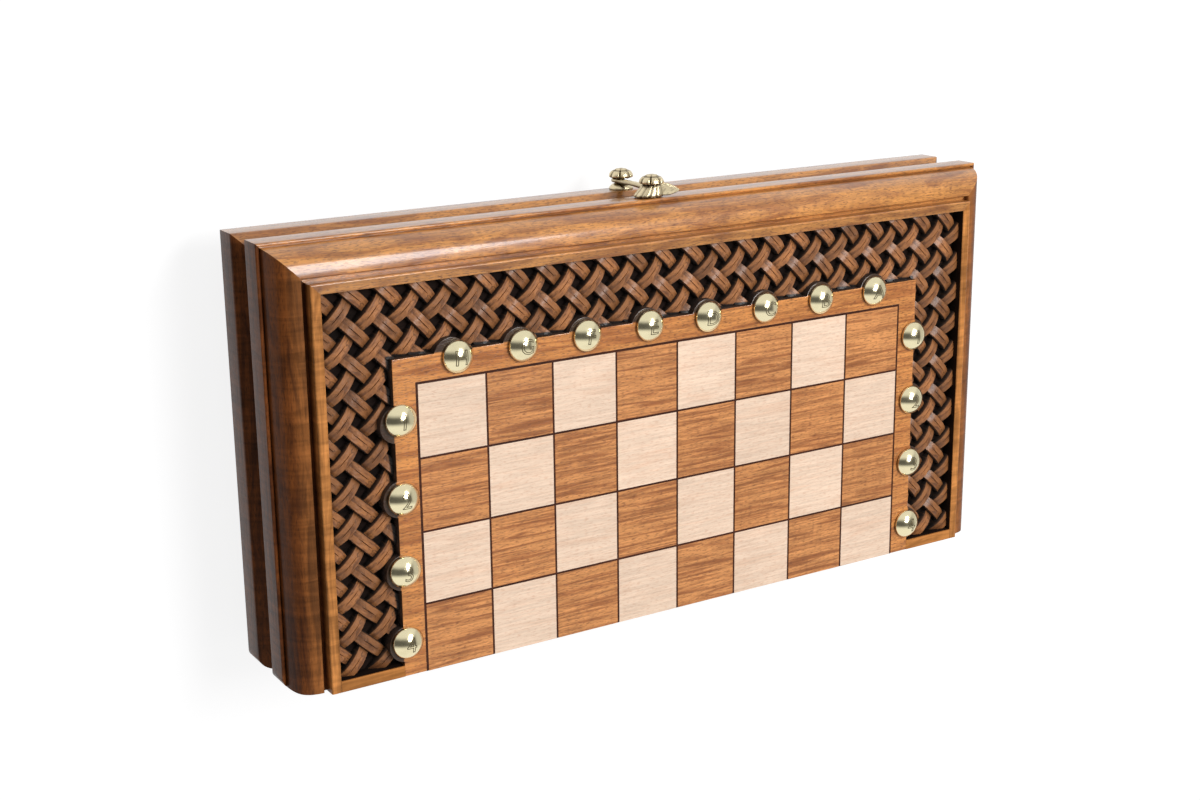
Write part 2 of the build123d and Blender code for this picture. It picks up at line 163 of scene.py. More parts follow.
class Finish(Graph):
    """Node tree of one material."""

    def __init__(self, name: str) -> None:
        """Makes the material with its name."""
        self.material = bpy.data.materials.new(name)
        self.material.use_nodes = True
        super().__init__(self.material.node_tree)

    def place(self) -> Value:
        """Object coordinates."""
        return self.node("ShaderNodeTexCoord", output="Object")

    def attribute(self, name: str) -> Value:
        """A number that the mesh carries."""
        return self.node("ShaderNodeAttribute", {"attribute_name": name}, output="Fac")

    def noise(self, vector: Value, scale: Point, detail: float = 3.0, bend: float = 0.0) -> Value:
        """Noise, stretched by its own scale along each axis.

        Args:
            vector: Coordinates in metres.
            scale: Waves for each metre along x, y and z.
            detail: Number of finer layers.
            bend: Distortion.

        Returns:
            Noise from 0 to 1.
        """
        stretched = self.vector("MULTIPLY", vector, scale)
        inputs = {"Vector": stretched, "Scale": 1.0, "Detail": detail, "Distortion": bend}
        return self.node("ShaderNodeTexNoise", inputs=inputs)

    def mix(self, share: "Value | float", first: "Value | Colour", second: "Value | Colour") -> Value:
        """Mix of two colours, by the share of the second."""
        settings = {"data_type": "RGBA", "blend_type": "MIX"}
        return self.node("ShaderNodeMix", settings, {0: share, 6: first, 7: second}, output=2)

    def lit(self, colour: Value, level: Value) -> Value:
        """A colour made lighter or darker by a level."""
        return self.vector("MULTIPLY", colour, self.triple(level))

    def bump(self, height: Value, depth: float) -> Value:
        """Bump normal of a height from 0 to 1 that is so many metres deep."""
        return self.node("ShaderNodeBump", inputs={"Height": height, "Distance": depth, "Strength": 1.0})

    def close(self, colour: Value, rough: Value, normal: Value, constants: dict) -> bpy.types.Material:
        """Ends the material in one principled shader.

        Args:
            colour: Base colour.
            rough: Roughness.
            normal: Bump normal.
            constants: Plain values of other sockets.

        Returns:
            The material.
        """
        inputs = {"Base Color": colour, "Roughness": rough, "Normal": normal, **constants}
        shader = self.node("ShaderNodeBsdfPrincipled", inputs=inputs)
        self.node("ShaderNodeOutputMaterial", inputs={"Surface": shader})
        return self.material


@dataclass(frozen=True)
class Wood:
    """A stained and varnished wood.

    Broad bands, fine fibres and short dark flecks run along the grain, and a faint cross figure
    lies over them. The attribute "shade" on a mesh turns it to a near-black colour, which stands
    for the dark paint of the recess walls and for dirt and painted shade in the quirks, grooves
    and creases. The attribute "tone" makes one of many like pieces lighter or darker. A square
    size gives each chess square its own stretch of grain. A crown colour is taken by what lies at
    the level of the carved face, and the wall colours by what lies in the hinge wall. The lobes
    that reach out beyond the straight edges of the border strip are painted dark, as painted shade
    round the studs.
    """

    name: str
    light: Colour
    dark: Colour
    fleck: Colour
    grain: Grain = Grain.ALONG_X
    band_scale: float = 150.0
    band_low: float = 0.38
    band_high: float = 0.68
    fleck_share: float = 0.5
    figure: float = 0.25
    streak: float = 0.55
    roughness: float = 0.34
    coat: float = 0.6
    coat_roughness: float = 0.12
    specular: float = 0.5
    relief: float = 0.06 * MM
    # Near-black colour of the recess paint, and of dirt and painted shade in the hollows.
    dark_paint_dirt_and_shade: Colour = (0.018, 0.010, 0.007)
    square: float = 0.0
    cell_shift: Point = (0.0, 0.0, 0.0)
    crown: Colour | None = None
    crown_contrast: float = 0.55
    crown_level: float = 0.0
    crown_fade: float = 1.5 * MM
    seam_z: float = 0.0
    wall_y: float | None = None
    wall_light: Colour = (0.50, 0.20, 0.058)
    wall_dark: Colour = (0.30, 0.105, 0.026)
    # Where the lobes begin, and how much painted shade they take.
    lobes_from: Plan | None = None
    lobe_shade: float = 0.94

    def scale(self, along: float, across: float) -> Point:
        """Scale of a pattern that is stretched along the grain."""
        return (along, across, across) if self.grain is Grain.ALONG_X else (across, along, across)

    def grain_place(self, g: Finish) -> Value:
        """Object coordinates, moved on from one chess square to the next."""
        place = g.place()
        if not self.square:
            return place
        cell = g.vector("MULTIPLY", place, (1 / self.square, 1 / self.square, 0.0))
        cell = g.vector("ADD", cell, self.cell_shift)
        cell = g.node("ShaderNodeVectorMath", {"operation": "FLOOR"}, {0: cell})
        return g.vector("ADD", place, g.vector("MULTIPLY", cell, (0.37, 0.53, 0.0)))

    def faced(self, g: Finish, colour: Value, band: Value) -> Value:
        """The colour with those of the carved face and the hinge wall laid over it."""
        if self.crown:
            height = g.math("ABSOLUTE", g.parts(g.place())[2] - self.seam_z)
            at_face = g.steep(height, self.crown_level - self.crown_fade, self.crown_level - 0.2 * MM)
            darker = tuple(self.crown_contrast * part for part in self.crown)
            colour = g.mix(at_face, colour, g.mix(band, self.crown, darker))
        if self.wall_y is not None:
            y = g.parts(g.place())[1]
            in_wall = 1.0 - g.steep(y, self.wall_y + 0.2 * MM, self.wall_y + 0.6 * MM)
            colour = g.mix(in_wall, colour, g.mix(band, self.wall_light, self.wall_dark))
        return colour

    def lobed(self, g: Finish, colour: Value) -> Value:
        """The colour with the painted shade of the lobes laid over it."""
        if not self.lobes_from:
            return colour
        x, y, _ = g.parts(g.place())
        out_x, out_y = (g.steep(value, edge - 0.3 * MM, edge + 0.9 * MM)
                        for value, edge in zip((g.math("ABSOLUTE", x), y), self.lobes_from))
        return g.mix(g.math("MAXIMUM", out_x, out_y) * self.lobe_shade, colour, self.dark_paint_dirt_and_shade)

    def build(self) -> bpy.types.Material:
        """Makes the material."""
        g = Finish(self.name)
        place = self.grain_place(g)
        band = g.noise(place, self.scale(17.0, self.band_scale), 4.0, 1.3)
        band = g.steep(band, self.band_low, self.band_high)
        fibre = g.noise(place, self.scale(50.0, 900.0), 3.0)
        fleck = g.steep(g.noise(place, self.scale(300.0, 1500.0), 2.0), 0.50, 0.68)
        figure = g.noise(place, self.scale(210.0, 26.0), 3.0, 0.8)
        patch = g.noise(place, self.scale(6.0, 14.0), 2.0)
        colour = g.mix(fleck * self.fleck_share, g.mix(band, self.light, self.dark), self.fleck)
        colour = self.faced(g, colour, band)
        level = 1.0 + (fibre - 0.5) * self.streak + (figure - 0.5) * self.figure + (patch - 0.5) * 0.3
        # Painted shade: the attribute "shade" mixes in the near-black colour of paint, dirt and painted
        # shade, then the lobes get theirs.
        shade = g.attribute("shade")
        colour = g.mix(shade, g.lit(colour, level + g.attribute("tone")), self.dark_paint_dirt_and_shade)
        colour = self.lobed(g, colour)
        rough = self.roughness + (fibre - 0.5) * 0.12 + shade * 0.2
        normal = g.bump(fibre * 0.6 + fleck * -0.6 + band * 0.3, self.relief)
        return g.close(colour, rough, normal, {
            "Coat Weight": self.coat, "Coat Roughness": self.coat_roughness,
            "Specular IOR Level": self.specular,
        })


@dataclass(frozen=True)
class StrapWood:
    """Carved straps of the basket weave: grain along each strap, tool marks, lighter worn patches and dark
    soot.

    The attribute "shade" of the crests turns them to the near-black colour as painted shade. In a narrow
    gap beside the border strip, whose outer edge is given, the straps are painted black as the shade of the
    trench there.
    """

    name: str
    light: Colour
    dark: Colour
    strip: Plan
    gap: float = 1.3 * MM
    relief: float = 0.5 * MM
    # Near-black colour of soot and of painted shade.
    dark_paint_dirt_and_shade: Colour = (0.012, 0.007, 0.005)

    def build(self) -> bpy.types.Material:
        """Makes the material."""
        g = Finish(self.name)
        tone = g.attribute("tone")
        inputs = {0: g.attribute("along"), 1: g.attribute("across"), 2: tone * 3.0}
        place = g.node("ShaderNodeCombineXYZ", inputs=inputs)
        band = g.steep(g.noise(place, (90.0, 330.0, 1.0), 3.0, 0.8), 0.40, 0.72)
        fibre = g.noise(place, (260.0, 1700.0, 1.0), 3.0)
        mark = g.noise(place, (420.0, 300.0, 1.0), 3.0, 0.6)
        soot = g.steep(g.noise(place, (240.0, 420.0, 1.0), 4.0, 1.0), 0.52, 0.74)
        worn = g.steep(g.noise(g.place(), (55.0, 55.0, 55.0), 2.0), 0.45, 0.7)
        level = 0.92 + tone * 1.6 + (fibre - 0.5) * 0.7 + worn * 0.18
        colour = g.lit(g.mix(band, self.light, self.dark), level)
        # Painted shade: straps in a narrow gap beside the border strip turn black, standing for the shaded
        # trench along it.
        x, y, _ = g.parts(g.place())
        beside = g.steep(g.math("ABSOLUTE", x), self.strip[0] + self.gap, self.strip[0] + 2 * self.gap)
        above = g.steep(y, self.strip[1] + 0.6 * self.gap, self.strip[1] + 1.4 * self.gap)
        trench_shade = 1.0 - g.math("MAXIMUM", beside, above)
        # The mesh's painted shade, varied by the tool marks, with soot and the trench's painted shade, kept
        # at most 1.
        shade = g.attribute("shade") * (0.8 + mark * 0.4) + soot * 0.6 + trench_shade
        shade = g.math("MINIMUM", shade, 1.0)
        normal = g.bump(fibre * 0.4 + mark, self.relief)
        rough = 0.42 + shade * 0.35 + (mark - 0.5) * 0.3
        return g.close(g.mix(shade, colour, self.dark_paint_dirt_and_shade), rough, normal, {
            "Coat Weight": 0.22, "Coat Roughness": 0.2, "Specular IOR Level": 0.3,
        })


@dataclass(frozen=True)
class Metal:
    """Cast or spun brass, darker where the attribute "shade" marks a hollow."""

    name: str
    colour: Colour
    hollow: Colour
    roughness: float = 0.16
    relief: float = 0.03 * MM

    def build(self) -> bpy.types.Material:
        """Makes the material."""
        g = Finish(self.name)
        place = g.place()
        cloud = g.noise(place, (220.0, 220.0, 220.0), 3.0)
        scratch = g.noise(place, (1500.0, 2600.0, 1900.0), 2.0)
        stain = g.steep(g.noise(place, (75.0, 75.0, 75.0), 4.0), 0.52, 0.75)
        shade = g.math("MINIMUM", g.attribute("shade") + stain * 0.16, 1.0)
        rough = self.roughness + (cloud - 0.5) * 0.14 + shade * 0.2
        normal = g.bump(cloud * 0.7 + scratch * 0.3, self.relief)
        return g.close(g.mix(shade, self.colour, self.hollow), rough, normal, {"Metallic": 1.0})


@dataclass(frozen=True)
class Bone:
    """Moulded dice and their pips, with a faint cloud in them."""

    name: str
    colour: Colour
    roughness: float = 0.3
    relief: float = 0.02 * MM

    def build(self) -> bpy.types.Material:
        """Makes the material."""
        g = Finish(self.name)
        cloud = g.noise(g.place(), (160.0, 160.0, 160.0), 3.0)
        colour = g.mix(cloud, self.colour, tuple(0.88 * part for part in self.colour))
        rough = self.roughness + (cloud - 0.5) * 0.1
        return g.close(colour, rough, g.bump(cloud, self.relief), {"Coat Weight": 0.2})


class Palette:
    """All finishes of the set, by their names."""

    def __init__(self, layout: "Layout") -> None:
        """Makes every finish for the places of the squares and of the carved face."""
        square = layout.square
        shift = (layout.field_x / square, 8.0 - (layout.field_y + layout.hinge_y) / square, 0.0)
        strip = (layout.strip_x, layout.strip_y + layout.hinge_y)
        crowned = {"crown": (0.60, 0.24, 0.066), "crown_level": layout.depth, "seam_z": layout.seam_z}
        in_squares = {"square": square, "cell_shift": shift}
        satin = {"coat": 0.25, "roughness": 0.42}
        finishes = (
            Wood("walnut", (0.66, 0.280, 0.068), (0.33, 0.112, 0.025), (0.15, 0.046, 0.013),
                 coat=0.55, band_scale=95.0, figure=0.4, streak=0.9, fleck_share=0.65),
            # End rails: walnut painted far darker than the latch rail's as the shade of the rails facing
            # away from the lamp, lighter again over 8 mm towards the carved face.
            Wood("shaded_end_walnut", (0.20, 0.060, 0.014), (0.085, 0.025, 0.008), (0.040, 0.014, 0.006),
                 Grain.ALONG_Y, figure=1.5, coat=0.08, specular=0.10, crown_fade=8.0 * MM, **crowned),
            Wood("ground", (0.016, 0.009, 0.007), (0.009, 0.006, 0.005), (0.006, 0.004, 0.003),
                 coat=0.0, specular=0.05, roughness=0.7, wall_y=layout.hinge_y, **crowned),
            StrapWood("straps", (0.38, 0.150, 0.050), (0.17, 0.062, 0.023), strip),
            Wood("beech", (0.89, 0.67, 0.505), (0.84, 0.58, 0.415), (0.66, 0.36, 0.22), band_low=0.45,
                 band_high=0.8, fleck_share=0.4, figure=0.06, coat=0.15, roughness=0.42, **in_squares),
            Wood("stained", (0.70, 0.295, 0.095), (0.35, 0.118, 0.032), (0.20, 0.060, 0.017),
                 band_scale=300.0, fleck_share=0.6, figure=0.3, streak=1.0, coat=0.2, roughness=0.4,
                 **in_squares),
            Wood("border", (0.72, 0.290, 0.078), (0.42, 0.140, 0.036), (0.18, 0.055, 0.016), coat=0.3,
                 band_scale=210.0, figure=0.3, streak=0.9, fleck_share=0.65, lobes_from=strip),
            Wood("line", (0.075, 0.022, 0.011), (0.045, 0.014, 0.008), (0.02, 0.008, 0.005),
                 coat=0.0, specular=0.2),
            Metal("brass", (0.86, 0.77, 0.50), (0.30, 0.23, 0.11)),
            Metal("stamp", (0.11, 0.085, 0.045), (0.05, 0.04, 0.02), roughness=0.5),
            Metal("cast", (0.70, 0.59, 0.38), (0.08, 0.055, 0.028), roughness=0.2, relief=0.6 * MM),
            Wood("board", (0.62, 0.36, 0.16), (0.46, 0.24, 0.095), (0.28, 0.12, 0.045),
                 figure=0.15, **satin),
            Wood("light_point", (0.86, 0.66, 0.44), (0.78, 0.55, 0.34), (0.60, 0.36, 0.20),
                 figure=0.06, **satin),
            Wood("dark_point", (0.17, 0.07, 0.032), (0.09, 0.036, 0.018), (0.04, 0.016, 0.01), **satin),
            Wood("light_man", (0.84, 0.62, 0.38), (0.74, 0.50, 0.27), (0.55, 0.32, 0.16),
                 coat=0.4, figure=0.08),
            Wood("dark_man", (0.17, 0.065, 0.03), (0.08, 0.03, 0.016), (0.035, 0.014, 0.01), coat=0.4),
            Bone("die", (0.84, 0.80, 0.70)),
            Bone("pip", (0.02, 0.018, 0.016), 0.45),
        )
        self.made = {finish.name: finish.build() for finish in finishes}

    def __getitem__(self, name: str) -> bpy.types.Material:
        """The finish of a name."""
        return self.made[name]


@dataclass(frozen=True)
class Layout:
    """Main places of a half in its drawing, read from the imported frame."""

    hinge_y: float
    seam_z: float
    half_y: float
    inner_x: float
    inner_y: float
    depth: float
    seam: float
    recess: float
    field_x: float
    field_y: float
    square: float
    stud_x: float
    stud_y: float
    stud_rise: float
    hinge_strip: float
    line_w: float = 1.3 * MM
    stud_r: float = 9.4 * MM
    strip_side: float = 14.3 * MM
    strip_top: float = 15.2 * MM

    @classmethod
    def read(cls) -> "Layout":
        """Reads the places from the boxes of the nodes."""
        rail_low, rail_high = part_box("lid_latch_rail")
        panel_low, panel_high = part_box("lid_carved_panel")
        line_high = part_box("lid_line_inlay")[1]
        weave_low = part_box("lid_basket_weave")[0]
        stud_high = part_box("lid_brass_studs")[1]
        hinge_y = panel_low.y
        seam_z = (rail_low.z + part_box("base_latch_rail")[1].z) / 2
        field_x = line_high.x - cls.line_w / 2
        return cls(
            hinge_y=hinge_y, seam_z=seam_z, half_y=rail_high.y - hinge_y, inner_x=panel_high.x,
            inner_y=panel_high.y - hinge_y, depth=rail_high.z - seam_z, seam=rail_low.z - seam_z,
            recess=weave_low.z - seam_z, field_x=field_x, field_y=line_high.y - cls.line_w / 2 - hinge_y,
            square=field_x / 4, stud_x=stud_high.x - cls.stud_r, stud_y=stud_high.y - cls.stud_r - hinge_y,
            stud_rise=stud_high.z - rail_high.z, hinge_strip=weave_low.y - hinge_y,
        )

    @property
    def strip_x(self) -> float:
        """Outer edge of the border strip beside the squares."""
        return self.field_x + self.strip_side

    @property
    def strip_y(self) -> float:
        """Outer edge of the border strip over the squares."""
        return self.field_y + self.strip_top

    def matrix(self, half: Half) -> Matrix:
        """Matrix from the drawing of a half to its place in the closed case."""
        flip = Matrix.Diagonal((1, 1, -1 if half is Half.BASE else 1, 1))
        return Matrix.Translation((0, self.hinge_y, self.seam_z)) @ flip

    def stud_places(self) -> list[Plan]:
        """Centres of the studs: those over the columns, then those beside the rows, left side first."""
        places = [((n + 0.5) * self.square - self.field_x, self.stud_y) for n in range(8)]
        for side in (-1, 1):
            places += [(side * self.stud_x, self.field_y - (n + 0.5) * self.square) for n in range(4)]
        return places


def arc(start: Plan, middle: Plan, end: Plan, steps: int) -> list[Plan]:
    """Points of the circular arc through three points, both ends included.

    Args:
        start: First point.
        middle: A point between the ends.
        end: Last point.
        steps: Number of straight steps.

    Returns:
        The points in order.
    """
    (ax, ay), (bx, by), (cx, cy) = start, middle, end
    d = 2 * (ax * (by - cy) + bx * (cy - ay) + cx * (ay - by))
    a2, b2, c2 = ax * ax + ay * ay, bx * bx + by * by, cx * cx + cy * cy
    ox = (a2 * (by - cy) + b2 * (cy - ay) + c2 * (ay - by)) / d
    oy = (a2 * (cx - bx) + b2 * (ax - cx) + c2 * (bx - ax)) / d
    r = math.hypot(ax - ox, ay - oy)
    first = math.atan2(ay - oy, ax - ox)
    last = math.atan2(cy - oy, cx - ox)
    turn = (last - first + math.pi) % (2 * math.pi) - math.pi
    angles = [first + turn * n / steps for n in range(steps + 1)]
    return [(ox + r * math.cos(a), oy + r * math.sin(a)) for a in angles]


def in_mm(rings: Sequence[Point]) -> list[Point]:
    """Rings in metres from rings whose radius and height are in millimetres."""
    return [(r * MM, z * MM, shade) for r, z, shade in rings]


def started(*layers: str) -> Mesh:
    """A new bmesh whose corners carry their share of the near-black colour of paint, dirt and painted
    shade, and the named numbers.
    """
    bm = bmesh.new()
    for name in ("shade", *layers):
        bm.verts.layers.float.new(name)
    return bm


def ring(bm: Mesh, corners: Sequence[tuple[Point, float]]) -> list[bmesh.types.BMVert]:
    """New corners of a mesh, from their places and their shares of the near-black colour of paint, dirt and
    painted shade.
    """
    layer = bm.verts.layers.float["shade"]
    made = []
    for spot, shade in corners:
        made.append(bm.verts.new(spot))
        made[-1][layer] = min(1.0, shade)
    return made


def soften(bm: Mesh, limit: float = 0.6) -> Mesh:
    """Smooth faces, with sharp edges where two faces meet at more than the limit in radians."""
    for face in bm.faces:
        face.smooth = True
    for edge in bm.edges:
        edge.smooth = edge.calc_face_angle(0.0) < limit
    return bm


def finished(bm: Mesh, limit: float) -> Mesh:
    """Turns all faces outwards and softens them."""
    bmesh.ops.recalc_face_normals(bm, faces=bm.faces)
    return soften(bm, limit)


def skin(bm: Mesh, rings: Sequence[Sequence[bmesh.types.BMVert]]) -> None:
    """Faces from each ring of corners to the next one, and at both ends."""
    for near, far in zip(rings, rings[1:]):
        for n in range(len(near)):
            m = (n + 1) % len(near)
            bm.faces.new([near[n], near[m], far[m], far[n]])
    bm.faces.new(rings[0])
    bm.faces.new(rings[-1][::-1])


def split(bm: Mesh, spot: Point, normal: Point, clear: bool = False) -> list[bmesh.types.BMEdge]:
    """Divides a mesh along a plane.

    Args:
        bm: The mesh.
        spot: A point of the plane.
        normal: The plane's normal.
        clear: Whether what lies beyond the plane goes.

    Returns:
        The edges that lie in the plane.
    """
    cut = bmesh.ops.bisect_plane(
        bm, geom=bm.verts[:] + bm.edges[:] + bm.faces[:], plane_co=spot, plane_no=normal, clear_outer=clear,
    )
    return [item for item in cut["geom_cut"] if isinstance(item, bmesh.types.BMEdge)]


def lathe(profile: Sequence[Point], sides: int, limit: float = 0.7,
          change: Callable[[float, float, float], Point] | None = None) -> Mesh:
    """A closed round form from a profile that starts and ends on its axis.

    Args:
        profile: Radius, height and shade of each ring. The first and last radius are zero.
        sides: Number of sides.
        limit: Angle in radians from which an edge is sharp.
        change: Gives radius, height and added shade from a ring's radius, height and the angle.

    Returns:
        The mesh, standing on the z axis.
    """
    bm = started()
    rings = []
    for r, z, shade in profile:
        corners = []
        for n in range(sides if r > 0 else 1):
            angle = 2 * math.pi * n / sides
            r_here, z_here, extra = change(r, z, angle) if change else (r, z, 0.0)
            spot = (r_here * math.cos(angle), r_here * math.sin(angle), z_here)
            corners.append((spot, shade + extra))
        rings.append(ring(bm, corners))
    for low, high in zip(rings, rings[1:]):
        for n in range(sides):
            m = (n + 1) % sides
            corners = [low[n % len(low)], low[m % len(low)], high[m % len(high)], high[n % len(high)]]
            bm.faces.new(list(dict.fromkeys(corners)))
    return finished(bm, limit)


def linked(name: str, data: bpy.types.ID) -> Piece:
    """A new object of some data, in the scene."""
    made = bpy.data.objects.new(name, data)
    bpy.context.scene.collection.objects.link(made)
    return made


def evaluated(piece: Piece) -> bpy.types.Mesh:
    """A plain mesh of what an object's curve or modifiers give."""
    bpy.context.view_layer.update()
    return bpy.data.meshes.new_from_object(piece.evaluated_get(bpy.context.evaluated_depsgraph_get()))


def piece_from(bm: Mesh, name: str, material: bpy.types.Material | None = None) -> Piece:
    """Turns a bmesh into an object, with its finish if it has only one, and frees it."""
    mesh = bpy.data.meshes.new(name)
    bm.to_mesh(mesh)
    bm.free()
    if material is not None:
        mesh.materials.append(material)
    return linked(name, mesh)


def join(parts: Sequence[Piece], name: str, material: bpy.types.Material) -> Piece:
    """Joins meshes into one piece with one finish.

    Args:
        parts: Pieces, which are removed.
        name: Name of the new piece.
        material: Finish of the new piece.

    Returns:
        The new piece.
    """
    bm = bmesh.new()
    for part in parts:
        bm.from_mesh(part.data)
        bpy.data.objects.remove(part)
    for face in bm.faces:
        face.material_index = 0
    return piece_from(bm, name, material)


def dress(piece: Piece, body: str, slot: str, *nodes: str, matrix: Matrix | None = None) -> None:
    """Ties a finished piece to the frame.

    Args:
        piece: The piece.
        body: Body that it moves with.
        slot: Not used.
        *nodes: Nodes that it stands for.
        matrix: Moves the mesh itself from its drawing to its place.
    """
    if matrix is not None:
        piece.data.transform(matrix)
        if matrix.determinant() < 0:
            piece.data.flip_normals()
    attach(piece, body)
    if nodes:
        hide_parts(*nodes)
    LOG.info("%s rides on %s, %d faces", piece.name, body, len(piece.data.polygons))


def dress_node(name: str, material: bpy.types.Material) -> None:
    """Gives a node of the frame its finish."""
    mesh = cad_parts[name].data
    mesh.materials.clear()
    mesh.materials.append(material)
    LOG.info("%s keeps its shape", name)


class Repeater:
    """Geometry Nodes tree that puts one shape on every point of a mesh."""

    INPUTS = {
        "Points": "Geometry", "Shape": "Object", "Finish": "Material", "Turn": "Float",
        "Turn Spread": "Float", "Size Spread": "Float", "Rise Spread": "Float", "Tone Spread": "Float",
        "Seed": "Int",
    }

    def __init__(self) -> None:
        """Builds the tree."""
        self.tree = bpy.data.node_groups.new("repeat_shape", "GeometryNodeTree")
        self.graph = Graph(self.tree)
        new_socket = self.tree.interface.new_socket
        self.sockets = {
            name: new_socket(name=name, in_out="INPUT", socket_type="NodeSocket" + kind).identifier
            for name, kind in self.INPUTS.items()
        }
        new_socket(name="Geometry", in_out="OUTPUT", socket_type="NodeSocketGeometry")
        self._wire()

    def _wire(self) -> None:
        """Adds and links the nodes."""
        g = self.graph
        group = g.node("NodeGroupInput", output="Points").socket.node
        given = {name: Value(g, group.outputs[name]) for name in self.sockets}

        def spread(name: str, offset: int) -> Value:
            """A random number from minus to plus a spread on each point."""
            inputs = {2: given[name] * -1.0, 3: given[name], 8: given["Seed"] + float(offset)}
            return g.node("FunctionNodeRandomValue", {"data_type": "FLOAT"}, inputs, output=1)

        shape = g.node("GeometryNodeObjectInfo", {"transform_space": "ORIGINAL"},
                       {"Object": given["Shape"], "As Instance": True}, output="Geometry")
        offset = g.node("ShaderNodeCombineXYZ", inputs={2: spread("Rise Spread", 1)})
        lifted = g.node("GeometryNodeSetPosition", inputs={"Geometry": given["Points"], "Offset": offset})
        rotation = g.node("ShaderNodeCombineXYZ", inputs={2: given["Turn"] + spread("Turn Spread", 2)})
        scale = g.triple(1.0 - g.math("ABSOLUTE", spread("Size Spread", 3)))
        placed = g.node("GeometryNodeInstanceOnPoints", inputs={
            "Points": lifted, "Instance": shape, "Rotation": rotation, "Scale": scale,
        })
        toned = g.node("GeometryNodeStoreNamedAttribute", {"data_type": "FLOAT", "domain": "INSTANCE"},
                       {"Geometry": placed, "Name": "tone", "Value": spread("Tone Spread", 4)})
        real = g.node("GeometryNodeRealizeInstances", inputs={"Geometry": toned})
        done = g.node("GeometryNodeSetMaterial", inputs={"Geometry": real, "Material": given["Finish"]})
        g.node("NodeGroupOutput", inputs={0: done})

    def repeat(self, name: str, points: Sequence[Point], shape: Piece, finish: bpy.types.Material,
               seed: int, **options: float) -> Piece:
        """Makes one plain mesh of many copies of a shape.

        Args:
            name: Name of the new piece.
            points: Where the copies stand.
            shape: Shape to copy, drawn about the origin.
            finish: Finish of the copies.
            seed: Seed of the random spreads.
            **options: Other inputs by name, with underscores for spaces.

        Returns:
            The piece.
        """
        host_mesh = bpy.data.meshes.new(name + "_points")
        host_mesh.from_pydata(list(points), [], [])
        host = linked(name + "_points", host_mesh)
        modifier = host.modifiers.new("repeat", "NODES")
        modifier.node_group = self.tree
        for key, value in {"Shape": shape, "Finish": finish, "Seed": seed, **options}.items():
            modifier[self.sockets[key.replace("_", " ")]] = value
        host.update_tag()
        mesh = evaluated(host)
        mesh.name = name
        mesh.materials.clear()
        mesh.materials.append(finish)
        bpy.data.objects.remove(host)
        return linked(name, mesh)


@dataclass
class Assembly:
    """A sub-assembly, with the places, finishes and repeater that all sub-assemblies share."""

    layout: Layout
    palette: Palette
    repeater: Repeater

    def tie(self, piece: Piece, half: Half, slot: str, *nodes: str) -> None:
        """Moves a half's piece from its drawing to its place and ties it to the half and its nodes."""
        named = [f"{half.value}_{node}" for node in nodes]
        dress(piece, half.value, slot, *named, matrix=self.layout.matrix(half))


